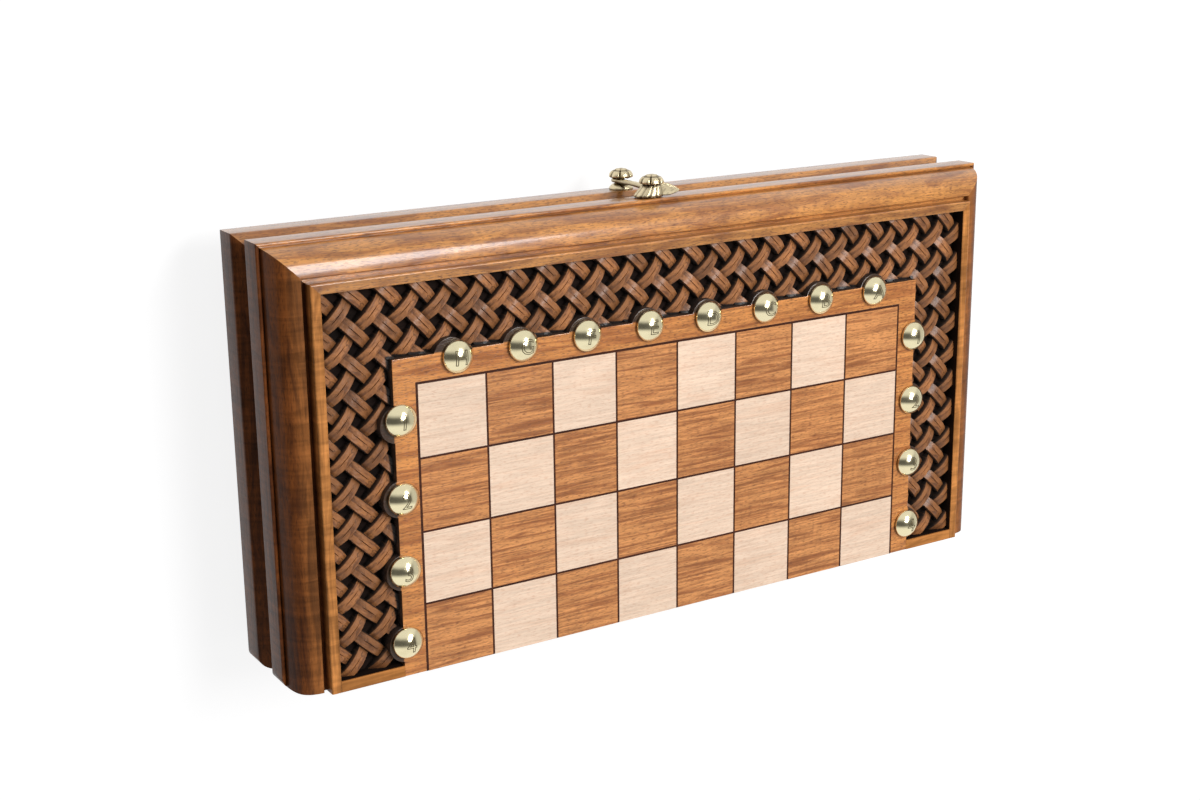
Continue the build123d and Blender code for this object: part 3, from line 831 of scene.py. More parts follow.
@dataclass
class Rails(Assembly):
    """The three moulded rails of a half.

    Sizes are in millimetres. A section point is its distance out from the rim's inner edge, its
    depth below the carved face and its share of the near-black colour, which stands for the dark
    paint of the inner wall and for dirt and painted shade in the quirks and the seam groove.
    """

    rim_w: float = 5.8
    rim_round: float = 0.9
    rim_drop: float = 8.2
    edge_ease: float = 0.4
    end_r: float = 7.0
    band_w: float = 26.7
    seam_wall: float = 12.9
    shelf: tuple = ((8.6, 5.0), (11.7, 5.3), (14.7, 6.1))
    shoulder: tuple = ((14.7, 6.1), (17.5, 7.5), (19.9, 9.9))
    slope: tuple = ((19.9, 9.9), (22.3, 14.1), (23.8, 18.7))
    # Quirk points carry their share of dirt and painted shade, darkest at the quirk's floor.
    quirk: tuple = ((24.0, 19.5, 0.1), (24.0, 20.3, 0.5), (24.1, 21.6, 1.0), (24.6, 21.6, 1.0),
                    (24.6, 20.9, 0.5))
    bead: tuple = ((24.6, 20.9), (25.65, 19.85), (26.7, 20.9))
    foot: tuple = ((26.7, 34.7), (26.55, 35.6), (26.1, 36.4))

    def section(self, dark_paint_dirt_and_shade: float, rim_darkening: float) -> list[Point]:
        """The closed section, from the seam's inner corner up over the rim and round.

        Args:
            dark_paint_dirt_and_shade: Share of the near-black colour, as dirt and painted shade, in the two
                quirks and down the rim's outer face.
            rim_darkening: Share of the near-black colour on the rim's top.

        Returns:
            Section points in metres, with height above the seam instead of depth.
        """
        ease, rim, r, drop = self.edge_ease, self.rim_w, self.rim_round, self.rim_drop
        depth = self.layout.depth
        recess = (depth - self.layout.recess) / MM
        seam = (depth - self.layout.seam) / MM
        # The rim's inner wall takes the near-black colour as its dark paint.
        points = [(0.0, seam, 0.0), (0.0, recess + 6.0, 0.0), (0.0, recess, 1.0), (0.0, 1.0, 1.0)]
        points += [(0.0, ease, 0.85)]
        points += [(k, d, 0.15) for k, d in arc((0, ease), (0.12, 0.12), (ease, 0), 3)[1:]]
        points += [(ease + 0.5, 0.0, rim_darkening), (rim - r - 0.3, 0.0, rim_darkening)]
        points += [(k, d, 0.0) for k, d in arc((rim - r, 0), (rim - 0.29 * r, 0.29 * r), (rim, r), 5)]
        # Dirt and painted shade: darker towards the bottom of the rim's outer face and in the upper quirk.
        points += [(rim, 0.45 * drop, 0.1 * dark_paint_dirt_and_shade), (rim, 0.8 * drop, 0.4 * dark_paint_dirt_and_shade), (rim, drop, dark_paint_dirt_and_shade)]
        points += [(rim + 1.7, drop, dark_paint_dirt_and_shade), (rim + 2.2, drop - 0.9, 0.8 * dark_paint_dirt_and_shade)]
        points += [(rim + 2.4, 5.6, 0.5 * dark_paint_dirt_and_shade)]
        points += [(k, d, 0.25 * dark_paint_dirt_and_shade if n == 0 else 0.0) for n, (k, d) in enumerate(arc(*self.shelf, 8))]
        points += [(k, d, 0.0) for k, d in arc(*self.shoulder, 10)[1:] + arc(*self.slope, 12)[1:]]
        points += [(k, d, shade * dark_paint_dirt_and_shade) for k, d, shade in self.quirk]
        points += [(k, d, 0.0) for k, d in arc(*self.bead, 8)[1:] + arc(*self.foot, 4)]
        # Painted shade where the moulding meets the seam groove.
        points += [(self.seam_wall, seam, 0.3)]
        return [(k * MM, depth - d * MM, shade) for k, d, shade in points]

    def sweep(self, spot: Callable[[float, float, bool], Point], dark_paint_dirt_and_shade: float, rim_darkening: float,
              cuts: Sequence[float] = ()) -> Mesh:
        """Sweeps the section between two ends that may differ from one section point to another.

        Args:
            spot: Place of a section point at the near (False) or far (True) end.
            dark_paint_dirt_and_shade: Share of the near-black colour, as dirt and painted shade, in the
                quirks.
            rim_darkening: Share of the near-black colour on the rim's top.
            cuts: Distances out from the rim at which the faces are divided.

        Returns:
            The mesh.
        """
        bm = started()
        section = self.section(dark_paint_dirt_and_shade, rim_darkening)
        skin(bm, [ring(bm, [((k, end, z), shade) for k, z, shade in section]) for end in (0.0, 1.0)])
        for cut in cuts:
            split(bm, (cut, 0, 0), (1, 0, 0))
        for corner in bm.verts:
            k, end, z = corner.co
            corner.co = spot(k, z, end > 0.5)
        return finished(bm, 0.6)

    def hinge_end(self, k: float) -> float:
        """How far the rounded hinge end lies behind the hinge wall at a distance out from the rim."""
        over = k - (self.band_w - self.end_r) * MM
        r = self.end_r * MM
        return r - math.sqrt(max(0.0, r * r - over * over)) if over > 0 else 0.0

    def end_rail(self, side: int) -> Mesh:
        """Left (-1) or right (1) end rail."""
        lay = self.layout
        first = (self.band_w - self.end_r) * MM
        cuts = [first + self.end_r * MM * math.sin(math.radians(a)) for a in range(0, 90, 9)]
        # The end rails, facing away from the lamp, take more dirt and painted shade in their quirks.
        return self.sweep(
            lambda k, z, far: (side * (lay.inner_x + k), lay.inner_y + k if far else self.hinge_end(k), z),
            0.28, 0.0, cuts,
        )

    def latch_rail(self) -> Mesh:
        """Rail on the latch side."""
        lay = self.layout
        # The latch rail takes little dirt and painted shade in its quirks, and some darkening on its rim
        # top.
        return self.sweep(
            lambda k, z, far: ((1 if far else -1) * (lay.inner_x + k), lay.inner_y + k, z), 0.12, 0.26,
        )

    def build(self, half: Half) -> None:
        """Makes and ties the rails of one half."""
        rails = (
            ("left_rail", self.end_rail(-1), "shaded_end_walnut", "dark_walnut"),
            ("right_rail", self.end_rail(1), "shaded_end_walnut", "dark_walnut"),
            ("latch_rail", self.latch_rail(), "walnut", "walnut"),
        )
        for part, bm, finish, slot in rails:
            self.tie(piece_from(bm, f"{half.value}_moulded_{part}", self.palette[finish]), half, slot, part)


@dataclass
class ChessFace(Assembly):
    """Everything flat on the carved side: the border strip, the lines and the squares."""

    lobe_r: float = 10.6 * MM
    edge_ease: float = 0.35 * MM
    line_sink: float = 0.12 * MM
    line_depth: float = 2.0 * MM
    arc_steps: int = 22

    def lobed_side(self, start: Plan, end: Plan, centres: Sequence[Plan]) -> list[Plan]:
        """A straight side of the strip with its lobes bulging to the left of the walk.

        Args:
            start: First corner of the side.
            end: Last corner of the side.
            centres: Centres of the lobes in the order of the walk.

        Returns:
            The side's points, without its last corner.
        """
        along = (Vector(end) - Vector(start)).normalized()
        out = Vector((-along.y, along.x))
        points = [start]
        for centre in centres:
            middle = Vector(centre)
            half_angle = math.acos((Vector(start) - middle).dot(out) / self.lobe_r)
            for n in range(self.arc_steps + 1):
                angle = half_angle * (2 * n / self.arc_steps - 1)
                spot = middle + self.lobe_r * (math.sin(angle) * along + math.cos(angle) * out)
                points.append((spot.x, spot.y))
        return points

    def strip(self) -> Mesh:
        """Border strip with a round lobe under each stud and eased upper edges."""
        lay = self.layout
        x, y = lay.strip_x, lay.strip_y
        inner_x, inner_y = lay.field_x + lay.line_w / 2, lay.field_y + lay.line_w / 2
        studs = lay.stud_places()
        outline = self.lobed_side((-x, 0), (-x, y), studs[8:12][::-1])
        outline += self.lobed_side((-x, y), (x, y), studs[:8])
        outline += self.lobed_side((x, y), (x, 0), studs[12:])
        outline += [(x, 0), (inner_x, 0), (inner_x, inner_y), (-inner_x, inner_y), (-inner_x, 0)]
        bm = started()
        face = bm.faces.new(ring(bm, [((px, py, lay.depth), 0.0) for px, py in outline]))
        rim = list(face.edges)
        for item in bmesh.ops.extrude_face_region(bm, geom=[face])["geom"]:
            if isinstance(item, bmesh.types.BMVert):
                item.co.z = lay.recess
        bmesh.ops.bevel(bm, geom=rim, offset=self.edge_ease, segments=2, affect="EDGES", profile=0.5)
        finished(bm, 0.6)
        shade = bm.verts.layers.float["shade"]
        # The walls below the carved face take the near-black colour, as dark paint and painted shade; the
        # end faces at the hinge wall do not.
        for corner in bm.verts:
            open_to_light = corner.co.z > lay.depth - 0.8 * self.edge_ease or corner.co.y < 0.1 * MM
            corner[shade] = 0.0 if open_to_light else 1.0
        for face in bm.faces:
            face.smooth = abs(face.normal.z) < 0.999
        return bm

    def lines(self) -> Mesh:
        """Grid of dark lines, a hair below the squares."""
        lay = self.layout
        half = lay.line_w / 2
        xs = [n * lay.square - lay.field_x + shift for n in range(9) for shift in (-half, half)]
        ys = [0.0] + [lay.field_y - n * lay.square + shift for n in (3, 2, 1, 0) for shift in (-half, half)]
        columns, rows = len(xs) - 1, len(ys) - 1
        z = (lay.depth - self.line_sink, lay.depth - self.line_depth)
        bm = bmesh.new()
        corners = {}

        def corner(i: int, j: int, level: int) -> bmesh.types.BMVert:
            """The corner of the grid, made when it is first asked for."""
            if (i, j, level) not in corners:
                corners[i, j, level] = bm.verts.new((xs[i], ys[j], z[level]))
            return corners[i, j, level]

        def dark(i: int, j: int) -> bool:
            """Whether a cell of the grid belongs to a line."""
            return 0 <= i < columns and 0 <= j < rows and (i % 2 == 0 or j % 2 == 1)

        for i, j in [(i, j) for i in range(columns) for j in range(rows) if dark(i, j)]:
            loop = [(i, j), (i + 1, j), (i + 1, j + 1), (i, j + 1)]
            for level in (0, 1):
                bm.faces.new([corner(a, b, level) for a, b in loop])
            beside = ((i, j - 1), (i + 1, j), (i, j + 1), (i - 1, j))
            for first, last, cell in zip(loop, loop[1:] + loop[:1], beside):
                if not dark(*cell):
                    wall = ((*first, 0), (*last, 0), (*last, 1), (*first, 1))
                    bm.faces.new([corner(*spot) for spot in wall])
        bmesh.ops.recalc_face_normals(bm, faces=bm.faces)
        return bm

    def build(self, half: Half) -> None:
        """Makes and ties the strip and the lines of one half."""
        strip = piece_from(self.strip(), f"{half.value}_lobed_border", self.palette["border"])
        self.tie(strip, half, "walnut", "border_strip")
        lines = piece_from(self.lines(), f"{half.value}_square_lines", self.palette["line"])
        self.tie(lines, half, "black_line", "line_inlay")


@dataclass
class Weave(Assembly):
    """Basket weave of the carved band: arched strap crests on two crossed lattices."""

    pitch: float = 19.9 * MM
    first_x: float = -194.3 * MM
    first_y: float = 211.3 * MM
    strap_w: float = 8.2 * MM
    reach: float = 14.0 * MM
    flat: float = 2.6 * MM
    crest_z: float = 6.2 * MM
    trough_z: float = 0.4 * MM
    foot_z: float = -1.2 * MM
    score_w: float = 0.26 * MM
    score_d: float = 0.7 * MM
    edge_ease: float = 0.22 * MM
    side_w: float = 0.5 * MM
    side_h: float = 1.6 * MM
    steps: int = 10
    keep_out: float = 4.0 * MM
    keep_in: float = 5.0 * MM
    sink: float = 2.6 * MM

    def height(self, s: float) -> float:
        """Height of a strap's upper face above the ground at a distance along it."""
        way = max(0.0, (abs(s) - self.flat) / (self.reach - self.flat))
        return self.crest_z - (self.crest_z - self.trough_z) * way ** 1.6

    def section(self, s: float) -> list[Point]:
        """Cross section of a strap at a distance along it: place across, height and painted shade."""
        half, ease = self.strap_w / 2, self.edge_ease
        top = self.height(s)
        low = (self.crest_z - top) / (self.crest_z - self.trough_z)
        wide = 1.0 - 0.10 * low
        # Painted shade: darker where the strap dips under the crossing strap, black down its sides and in
        # its short score line.
        dip = 0.75 * low ** 1.5
        scored = low < 0.02
        face = (half - self.side_w) * wide
        right = [
            (half * wide, self.foot_z, 1.0), (half * wide, top - self.side_h, 1.0),
            (face, top - ease, 0.75 + dip), (face - ease, top, dip), (self.score_w, top, dip),
        ]
        middle = (0.0, top - self.score_d, 1.0) if scored else (0.0, top, dip)
        return [(-y, z, shade) for y, z, shade in right] + [middle] + right[::-1]

    def crest(self) -> Piece:
        """One crest along the x axis, with a score line along its middle."""
        bm = started("along", "across")
        stations = [self.reach * (2 * n / self.steps - 1) for n in range(self.steps + 1)]
        skin(bm, [ring(bm, [((s, y, z), shade) for y, z, shade in self.section(s)]) for s in stations])
        along, across = bm.verts.layers.float["along"], bm.verts.layers.float["across"]
        for corner in bm.verts:
            corner[along], corner[across], _ = corner.co
        return piece_from(finished(bm, 0.5), "strap_crest")

    def places(self, shift: float) -> list[Point]:
        """Centres, on the ground, of one direction's crests that lie in the band.

        Args:
            shift: Offset of the lattice from its first crest, along x and y.

        Returns:
            The centres.
        """
        lay = self.layout
        inner_x, inner_y = lay.strip_x - self.keep_in, lay.strip_y - self.keep_in
        outer_x, outer_y = lay.inner_x + self.keep_out, lay.inner_y + self.keep_out
        found = []
        for i in range(-2, 24):
            for j in range(-2, 14):
                x = self.first_x + shift + i * self.pitch
                y = self.first_y - shift - j * self.pitch
                in_band = abs(x) < outer_x and lay.hinge_strip - self.keep_out < y < outer_y
                if in_band and not (abs(x) < inner_x and y < inner_y):
                    found.append((x, y, lay.recess))
        return found

    def trim(self, piece: Piece) -> None:
        """Cuts off what would come out through the rails or the hinge strip, and closes the cuts."""
        lay = self.layout
        x, y = lay.inner_x + self.sink, lay.inner_y + self.sink
        planes = (((x, 0, 0), (1, 0, 0)), ((-x, 0, 0), (-1, 0, 0)), ((0, y, 0), (0, 1, 0)),
                  ((0, lay.hinge_strip - self.sink, 0), (0, -1, 0)))
        bm = bmesh.new()
        bm.from_mesh(piece.data)
        for spot, normal in planes:
            rim = split(bm, spot, normal, clear=True)
            bmesh.ops.holes_fill(bm, edges=[edge for edge in rim if edge.is_boundary], sides=0)
        bmesh.ops.recalc_face_normals(bm, faces=bm.faces)
        bm.to_mesh(piece.data)
        bm.free()

    def build(self, half: Half) -> None:
        """Makes and ties the weave of one half."""
        crest = self.crest()
        straps = self.palette["straps"]
        parts = []
        for shift, turn, seed in ((0.0, 45.0, 11), (self.pitch / 2, -45.0, 23)):
            seed += 100 * (half is Half.BASE)
            parts.append(self.repeater.repeat(
                f"{half.value}_straps_{seed}", self.places(shift), crest, straps, seed,
                Turn=math.radians(turn), Turn_Spread=0.05, Size_Spread=0.03, Rise_Spread=0.35 * MM,
                Tone_Spread=0.14,
            ))
        bpy.data.objects.remove(crest)
        joined = join(parts, f"{half.value}_strap_weave", straps)
        self.trim(joined)
        self.tie(joined, half, "carved_wood", "basket_weave")


@dataclass
class Studs(Assembly):
    """Domed brass nails with their stamped letters and numbers.

    The slips are in millimetres, by the number of a stud of the lid: some were driven in by
    hand beside the middles of their lobes.
    """

    sides: int = 44
    rings: int = 9
    cap_rise: float = 4.9 * MM
    foot_sink: float = 0.3 * MM
    mark_size: float = 12.5 * MM
    line_r: float = 0.36 * MM
    line_rise: float = 0.16 * MM
    longest: float = 1.6 * MM
    slips: dict = field(default_factory=lambda: {
        0: (3.6, -0.4), 1: (2.0, 0.0), 2: (1.3, 0.0), 3: (1.4, 0.0), 4: (0.4, 0.0), 8: (1.3, 2.6),
        9: (1.0, 0.5), 10: (0.2, 1.1), 11: (0.0, 1.4),
    })
    marks: dict = field(default_factory=lambda: {
        Half.LID: "HGFEDCBA" + "1234" * 2, Half.BASE: "HGFEDCBA" + "8765" * 2,
    })

    def __post_init__(self) -> None:
        """Works out the height of the head, which leaves room for the marks, and the cap's ball."""
        self.rise = self.layout.stud_rise - self.line_rise
        self.ball_r = (self.layout.stud_r ** 2 + self.cap_rise ** 2) / (2 * self.cap_rise)

    def dome(self) -> Piece:
        """One head on z = 0: a cap on a low skirt, its foot a hair under the wood."""
        ball, r = self.ball_r, self.layout.stud_r
        skirt = self.rise - self.cap_rise
        edge = math.asin(r / ball)
        profile = [(0.0, -self.foot_sink, 0.0), (0.90 * r, -self.foot_sink, 1.0),
                   (0.92 * r, 0.1 * MM, 0.9), (0.98 * r, 0.4 * skirt, 0.35), (r, 0.9 * skirt, 0.0)]
        for n in range(self.rings):
            angle = edge * (1 - n / self.rings) * 0.985
            profile.append((ball * math.sin(angle), self.rise - ball * (1 - math.cos(angle)), 0.0))
        profile.append((0.0, self.rise, 0.0))
        return piece_from(lathe(profile, self.sides), "stud_head")

    def outline(self, letter: str) -> Mesh:
        """The outline of a letter as thin round lines on z = 0, cut into short steps."""
        curve = bpy.data.curves.new("mark", "FONT")
        curve.body = letter
        curve.size = self.mark_size
        curve.align_x = curve.align_y = "CENTER"
        curve.fill_mode = "NONE"
        curve.bevel_depth = self.line_r
        curve.bevel_resolution = 1
        curve.resolution_u = 3
        text = linked("mark", curve)
        bm = bmesh.new()
        bm.from_mesh(evaluated(text))
        bpy.data.objects.remove(text)
        for _ in range(3):
            long_edges = [edge for edge in bm.edges if edge.calc_length() > self.longest]
            bmesh.ops.subdivide_edges(bm, edges=long_edges, cuts=1, use_grid_fill=True)
        return bm

    def mark(self, letter: str, spot: Plan, mirrored: bool) -> Piece:
        """One stamped mark: the outline of the letter laid on the dome.

        Args:
            letter: Letter or digit.
            spot: Centre of the stud.
            mirrored: Whether the drawing is mirrored later, so that the letter has to be too.

        Returns:
            The mark as a mesh in the drawing of a half.
        """
        bm = self.outline(letter)
        ball = self.ball_r
        xs, ys = [v.co.x for v in bm.verts], [v.co.y for v in bm.verts]
        middle = Vector(((min(xs) + max(xs)) / 2, (min(ys) + max(ys)) / 2, 0.0))
        sign = -1.0 if mirrored else 1.0
        ball_z = self.layout.depth + self.rise - ball
        for v in bm.verts:
            x, y = sign * (v.co.x - middle.x), v.co.y - middle.y
            r = math.hypot(x, y)
            angle = r / ball
            lift = ball + self.line_rise + v.co.z - self.line_r
            share = math.sin(angle) * lift / r if r > 0 else 0.0
            v.co = (spot[0] + x * share, spot[1] + y * share, ball_z + lift * math.cos(angle))
        if mirrored:
            bmesh.ops.reverse_faces(bm, faces=bm.faces)
        return piece_from(bm, "mark")

    def build(self, half: Half) -> None:
        """Makes and ties the studs and marks of one half."""
        name, brass = half.value, self.palette["brass"]
        places = self.layout.stud_places()
        for n, (slip_x, slip_y) in self.slips.items() if half is Half.LID else ():
            places[n] = (places[n][0] + slip_x * MM, places[n][1] + slip_y * MM)
        dome = self.dome()
        spots = [(x, y, self.layout.depth) for x, y in places]
        heads = self.repeater.repeat(f"{name}_stud_heads", spots, dome, brass, 5, Turn_Spread=3.0)
        bpy.data.objects.remove(dome)
        self.tie(heads, half, "brass", "brass_studs")
        mirrored = half is Half.BASE
        marks = [self.mark(letter, spot, mirrored) for letter, spot in zip(self.marks[half], places)]
        self.tie(join(marks, f"{name}_stud_marks", self.palette["stamp"]), half, "brass")


@dataclass
class Latch(Assembly):
    """The cast hook and the two flower-headed studs on the latch side.

    Each is drawn standing on z = 0 with y towards the base half. Rings hold radius, height and
    shade, and all sizes are in millimetres but the head's radius and the ring shares of the
    flower.
    """

    head_r: float = 7.5 * MM
    foot_r: float = 7.4
    claw_r: float = 4.4
    boss_top: float = 7.6
    boss_lean: float = 5.0
    leaf_tilt: float = 42.0
    leaf_turn: float = -18.0
    leaf_z: float = 3.9
    leaf_start: float = 3.0
    leaf_end: float = 17.5
    leaf_w: float = 9.2
    petals: int = 7
    sides: int = 84
    flower_rings: tuple = (
        (0.0, 0.06, 0.9), (0.45, 0.05, 1.0), (0.82, 0.0, 0.9), (0.96, 0.04, 0.5), (1.0, 0.14, 0.0),
        (0.98, 0.30, 0.0), (0.93, 0.46, 0.0), (0.85, 0.62, 0.0), (0.74, 0.74, 0.1), (0.64, 0.74, 0.7),
        (0.58, 0.76, 0.8), (0.50, 0.88, 0.1), (0.38, 0.96, 0.0), (0.24, 0.99, 0.0), (0.13, 0.93, 0.5),
        (0.0, 0.88, 0.8),
    )
    post_rings: tuple = ((0.0, -1.0, 1.0), (4.5, -1.0, 1.0), (4.5, 0.3, 0.8), (2.5, 0.4, 1.0),
                         (2.5, 8.4, 1.0), (0.0, 8.4, 1.0))
    boss_rings: tuple = ((0.0, 0.6, 1.0), (7.0, 0.6, 1.0), (7.5, 1.1, 0.4), (7.4, 2.2, 0.0),
                         (7.0, 3.6, 0.0), (6.4, 5.2, 0.0), (5.7, 6.8, 0.2), (5.2, 7.6, 0.6),
                         (0.0, 7.6, 1.0))
    arm: tuple = ((0.09, 3.0, 3.6, 6.9), (0.28, 2.9, 4.0, 7.0), (0.48, 2.5, 4.3, 6.9),
                  (0.68, 2.2, 4.4, 6.8), (0.86, 2.0, 4.4, 6.8))
    bar_section: tuple = ((-0.8, 0.0, 0.9), (-1.0, 0.3, 0.6), (-0.92, 0.7, 0.2), (-0.5, 0.96, 0.0),
                          (0.0, 1.0, 0.0), (0.5, 0.96, 0.0), (0.92, 0.7, 0.2), (1.0, 0.3, 0.6),
                          (0.8, 0.0, 0.9))

    def matrix(self, node: str) -> Matrix:
        """Matrix from the drawing of a latch piece to its place, which a stud's node gives."""
        low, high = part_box(node)
        lay = self.layout
        spot = Vector(((low.x + high.x) / 2, lay.hinge_y + lay.half_y, (low.z + high.z) / 2))
        return Matrix.Translation(spot) @ Matrix.Rotation(-math.pi / 2, 4, "X")

    def flower(self, base_z: float, height: float) -> Mesh:
        """Flower-shaped head: rolled petals round a small bud. Both lengths are in metres."""
        r = self.head_r

        def petal(radius: float, z: float, angle: float) -> Point:
            """Draws the rings in and down between the petals."""
            share = radius / r
            if share < 0.3:
                return radius, z, 0.0
            turns = self.petals if share > 0.55 else self.petals - 2
            edge = abs(math.cos(turns * angle / 2 + (0.8 if share < 0.55 else 0.0)))
            gap = max(0.0, 1.0 - edge * 1.9) ** 1.3
            depth = 0.20 if share > 0.55 else 0.12
            return radius * (1 - depth * gap), z - 0.13 * height * gap * share, 0.85 * gap

        profile = [(share * r, base_z + z * height, shade) for share, z, shade in self.flower_rings]
        return lathe(profile, self.sides, 1.1, petal)

    def foot_rings(self) -> list[Point]:
        """Rings of the domed foot of the catch and the neck that the claw goes round."""
        r = self.foot_r
        return [(0.0, -1.0, 1.0), (0.95 * r, -1.0, 1.0), (0.99 * r, 0.1, 0.7), (r, 0.7, 0.2),
                (0.96 * r, 1.4, 0.0), (0.86 * r, 2.2, 0.0), (0.73 * r, 3.0, 0.0), (0.55 * r, 3.6, 0.1),
                (3.0, 3.9, 0.5), (2.2, 4.1, 1.0), (2.2, 7.6, 1.0), (0.0, 7.6, 1.0)]

    def bar(self, path: Sequence[tuple[float, float, float, float, float]]) -> Mesh:
        """A cast bar with a rounded section along a path.

        Args:
            path: x, y, half width, lowest and highest level of each station.

        Returns:
            The mesh.
        """
        bm = started()
        rings = []
        for n, (x, y, half, low, high) in enumerate(path):
            before, after = path[max(0, n - 1)], path[min(len(path) - 1, n + 1)]
            along = Vector((after[0] - before[0], after[1] - before[1])).normalized()
            side = Vector((-along.y, along.x))
            corners = []
            for across, up, shade in self.bar_section:
                spot = Vector((x, y)) + side * across * half
                corners.append(((spot.x * MM, spot.y * MM, (low + up * (high - low)) * MM), shade))
            rings.append(ring(bm, corners))
        skin(bm, rings)
        return finished(bm, 0.9)

    def boss(self) -> Mesh:
        """Ribbed shell-like boss of the hook, under the front flower, leaning out at its foot."""
        def rib(radius: float, z: float, angle: float) -> Point:
            """Draws the form in between its ribs."""
            gap = max(0.0, 1 - abs(math.cos(5.5 * angle)) * 1.6) ** 1.2
            return radius * (1 - 0.11 * gap), z, 0.75 * gap

        bm = lathe(in_mm(self.boss_rings), 99, change=rib)
        for corner in bm.verts:
            low = 1 - corner.co.z / (self.boss_top * MM)
            corner.co.x -= self.boss_lean * MM * low * (0.5 - 0.5 * corner.co.x / self.head_r)
        return soften(bm, 1.0)

    def hook_path(self, reach: Plan) -> list[tuple[float, float, float, float, float]]:
        """Stations of the arm and its claw, from the boss to the claw's tip.

        Args:
            reach: Place of the catch from the hook's axis.

        Returns:
            The stations.
        """
        x, y = reach
        r = self.claw_r
        end_x, end_y = x - r * math.sqrt(0.5), y - r * math.sqrt(0.5)
        path = [(end_x * share ** 2, end_y * share, *rest) for share, *rest in self.arm]
        for degrees in range(-135, -306, -19):
            angle = math.radians(degrees)
            thin = 1.7 if degrees > -280 else 1.35
            path.append((x + r * math.cos(angle), y + r * math.sin(angle), thin, 4.4, 6.8))
        return path

    def leaf_rise(self, t: float, v: float, top: bool) -> float:
        """Height of a leaf's face, from the share along it and the place across it, -1 to 1."""
        rise = 0.6 - 1.4 * t ** 1.4 + 0.8 * v * v * math.sin(math.pi * t)
        if top:
            return rise + 0.7 * math.exp(-(v / 0.22) ** 2) * (1 - t)
        return rise - 0.35 * (abs(v) < 0.2) - 0.9 * (1 - 0.5 * t)

    def leaf(self) -> Mesh:
        """Leaf-shaped tail: cupped, with a raised midrib, drooping towards its tip."""
        bm = started()
        steps, across = 14, 8
        grids = ([], [])
        for is_top, rows in zip((True, False), grids):
            for t in [n / steps for n in range(steps + 1)]:
                x = self.leaf_start + (self.leaf_end - self.leaf_start) * t
                half = self.leaf_w / 2 * (math.sin(math.pi * min(1.0, t * 0.93 + 0.07) ** 0.72)) ** 0.8
                corners = []
                for v in [2 * m / across - 1 for m in range(across + 1)]:
                    vein = abs(math.sin(9 * t + 3 * abs(v))) < 0.25
                    shade = (0.45 if vein else 0.0) if is_top else 0.9
                    corners.append(((x * MM, half * v * MM, self.leaf_rise(t, v, is_top) * MM), shade))
                rows.append(ring(bm, corners))
        top, under = grids
        for n in range(steps):
            for m in range(across):
                for grid in grids:
                    bm.faces.new([grid[n][m], grid[n][m + 1], grid[n + 1][m + 1], grid[n + 1][m]])
            for m in (0, across):
                bm.faces.new([top[n][m], top[n + 1][m], under[n + 1][m], under[n][m]])
        for n in (0, steps):
            for m in range(across):
                bm.faces.new([top[n][m], under[n][m], under[n][m + 1], top[n][m + 1]])
        bmesh.ops.remove_doubles(bm, verts=bm.verts, dist=0.01 * MM)
        turn = Matrix.Rotation(math.radians(self.leaf_turn), 4, "Z")
        tilt = Matrix.Rotation(math.radians(self.leaf_tilt), 4, "X")
        bm.transform(turn @ Matrix.Translation((0, 0, self.leaf_z * MM)) @ tilt)
        return finished(bm, 0.9)

    def build(self) -> None:
        """Makes and ties the two studs and the hook."""
        pivot, catch = self.matrix("pivot_stud"), self.matrix("catch_stud")
        offset = pivot.inverted() @ catch.translation
        path = self.hook_path((offset.x / MM, offset.y / MM))
        post, foot = (lathe(in_mm(rings), 48) for rings in (self.post_rings, self.foot_rings()))
        pieces = (
            ("flower_pivot", [post, self.flower(8.0 * MM, 5.5 * MM)], "lid", "pivot_stud", pivot),
            ("flower_catch", [foot, self.flower(7.2 * MM, 5.4 * MM)], "base", "catch_stud", catch),
            ("cast_hook", [self.boss(), self.bar(path), self.leaf()], "hook", "latch_hook", pivot),
        )
        for name, forms, body, node, matrix in pieces:
            piece = join([piece_from(bm, "part") for bm in forms], name, self.palette["cast"])
            dress(piece, body, "latch_brass", node, matrix=matrix)


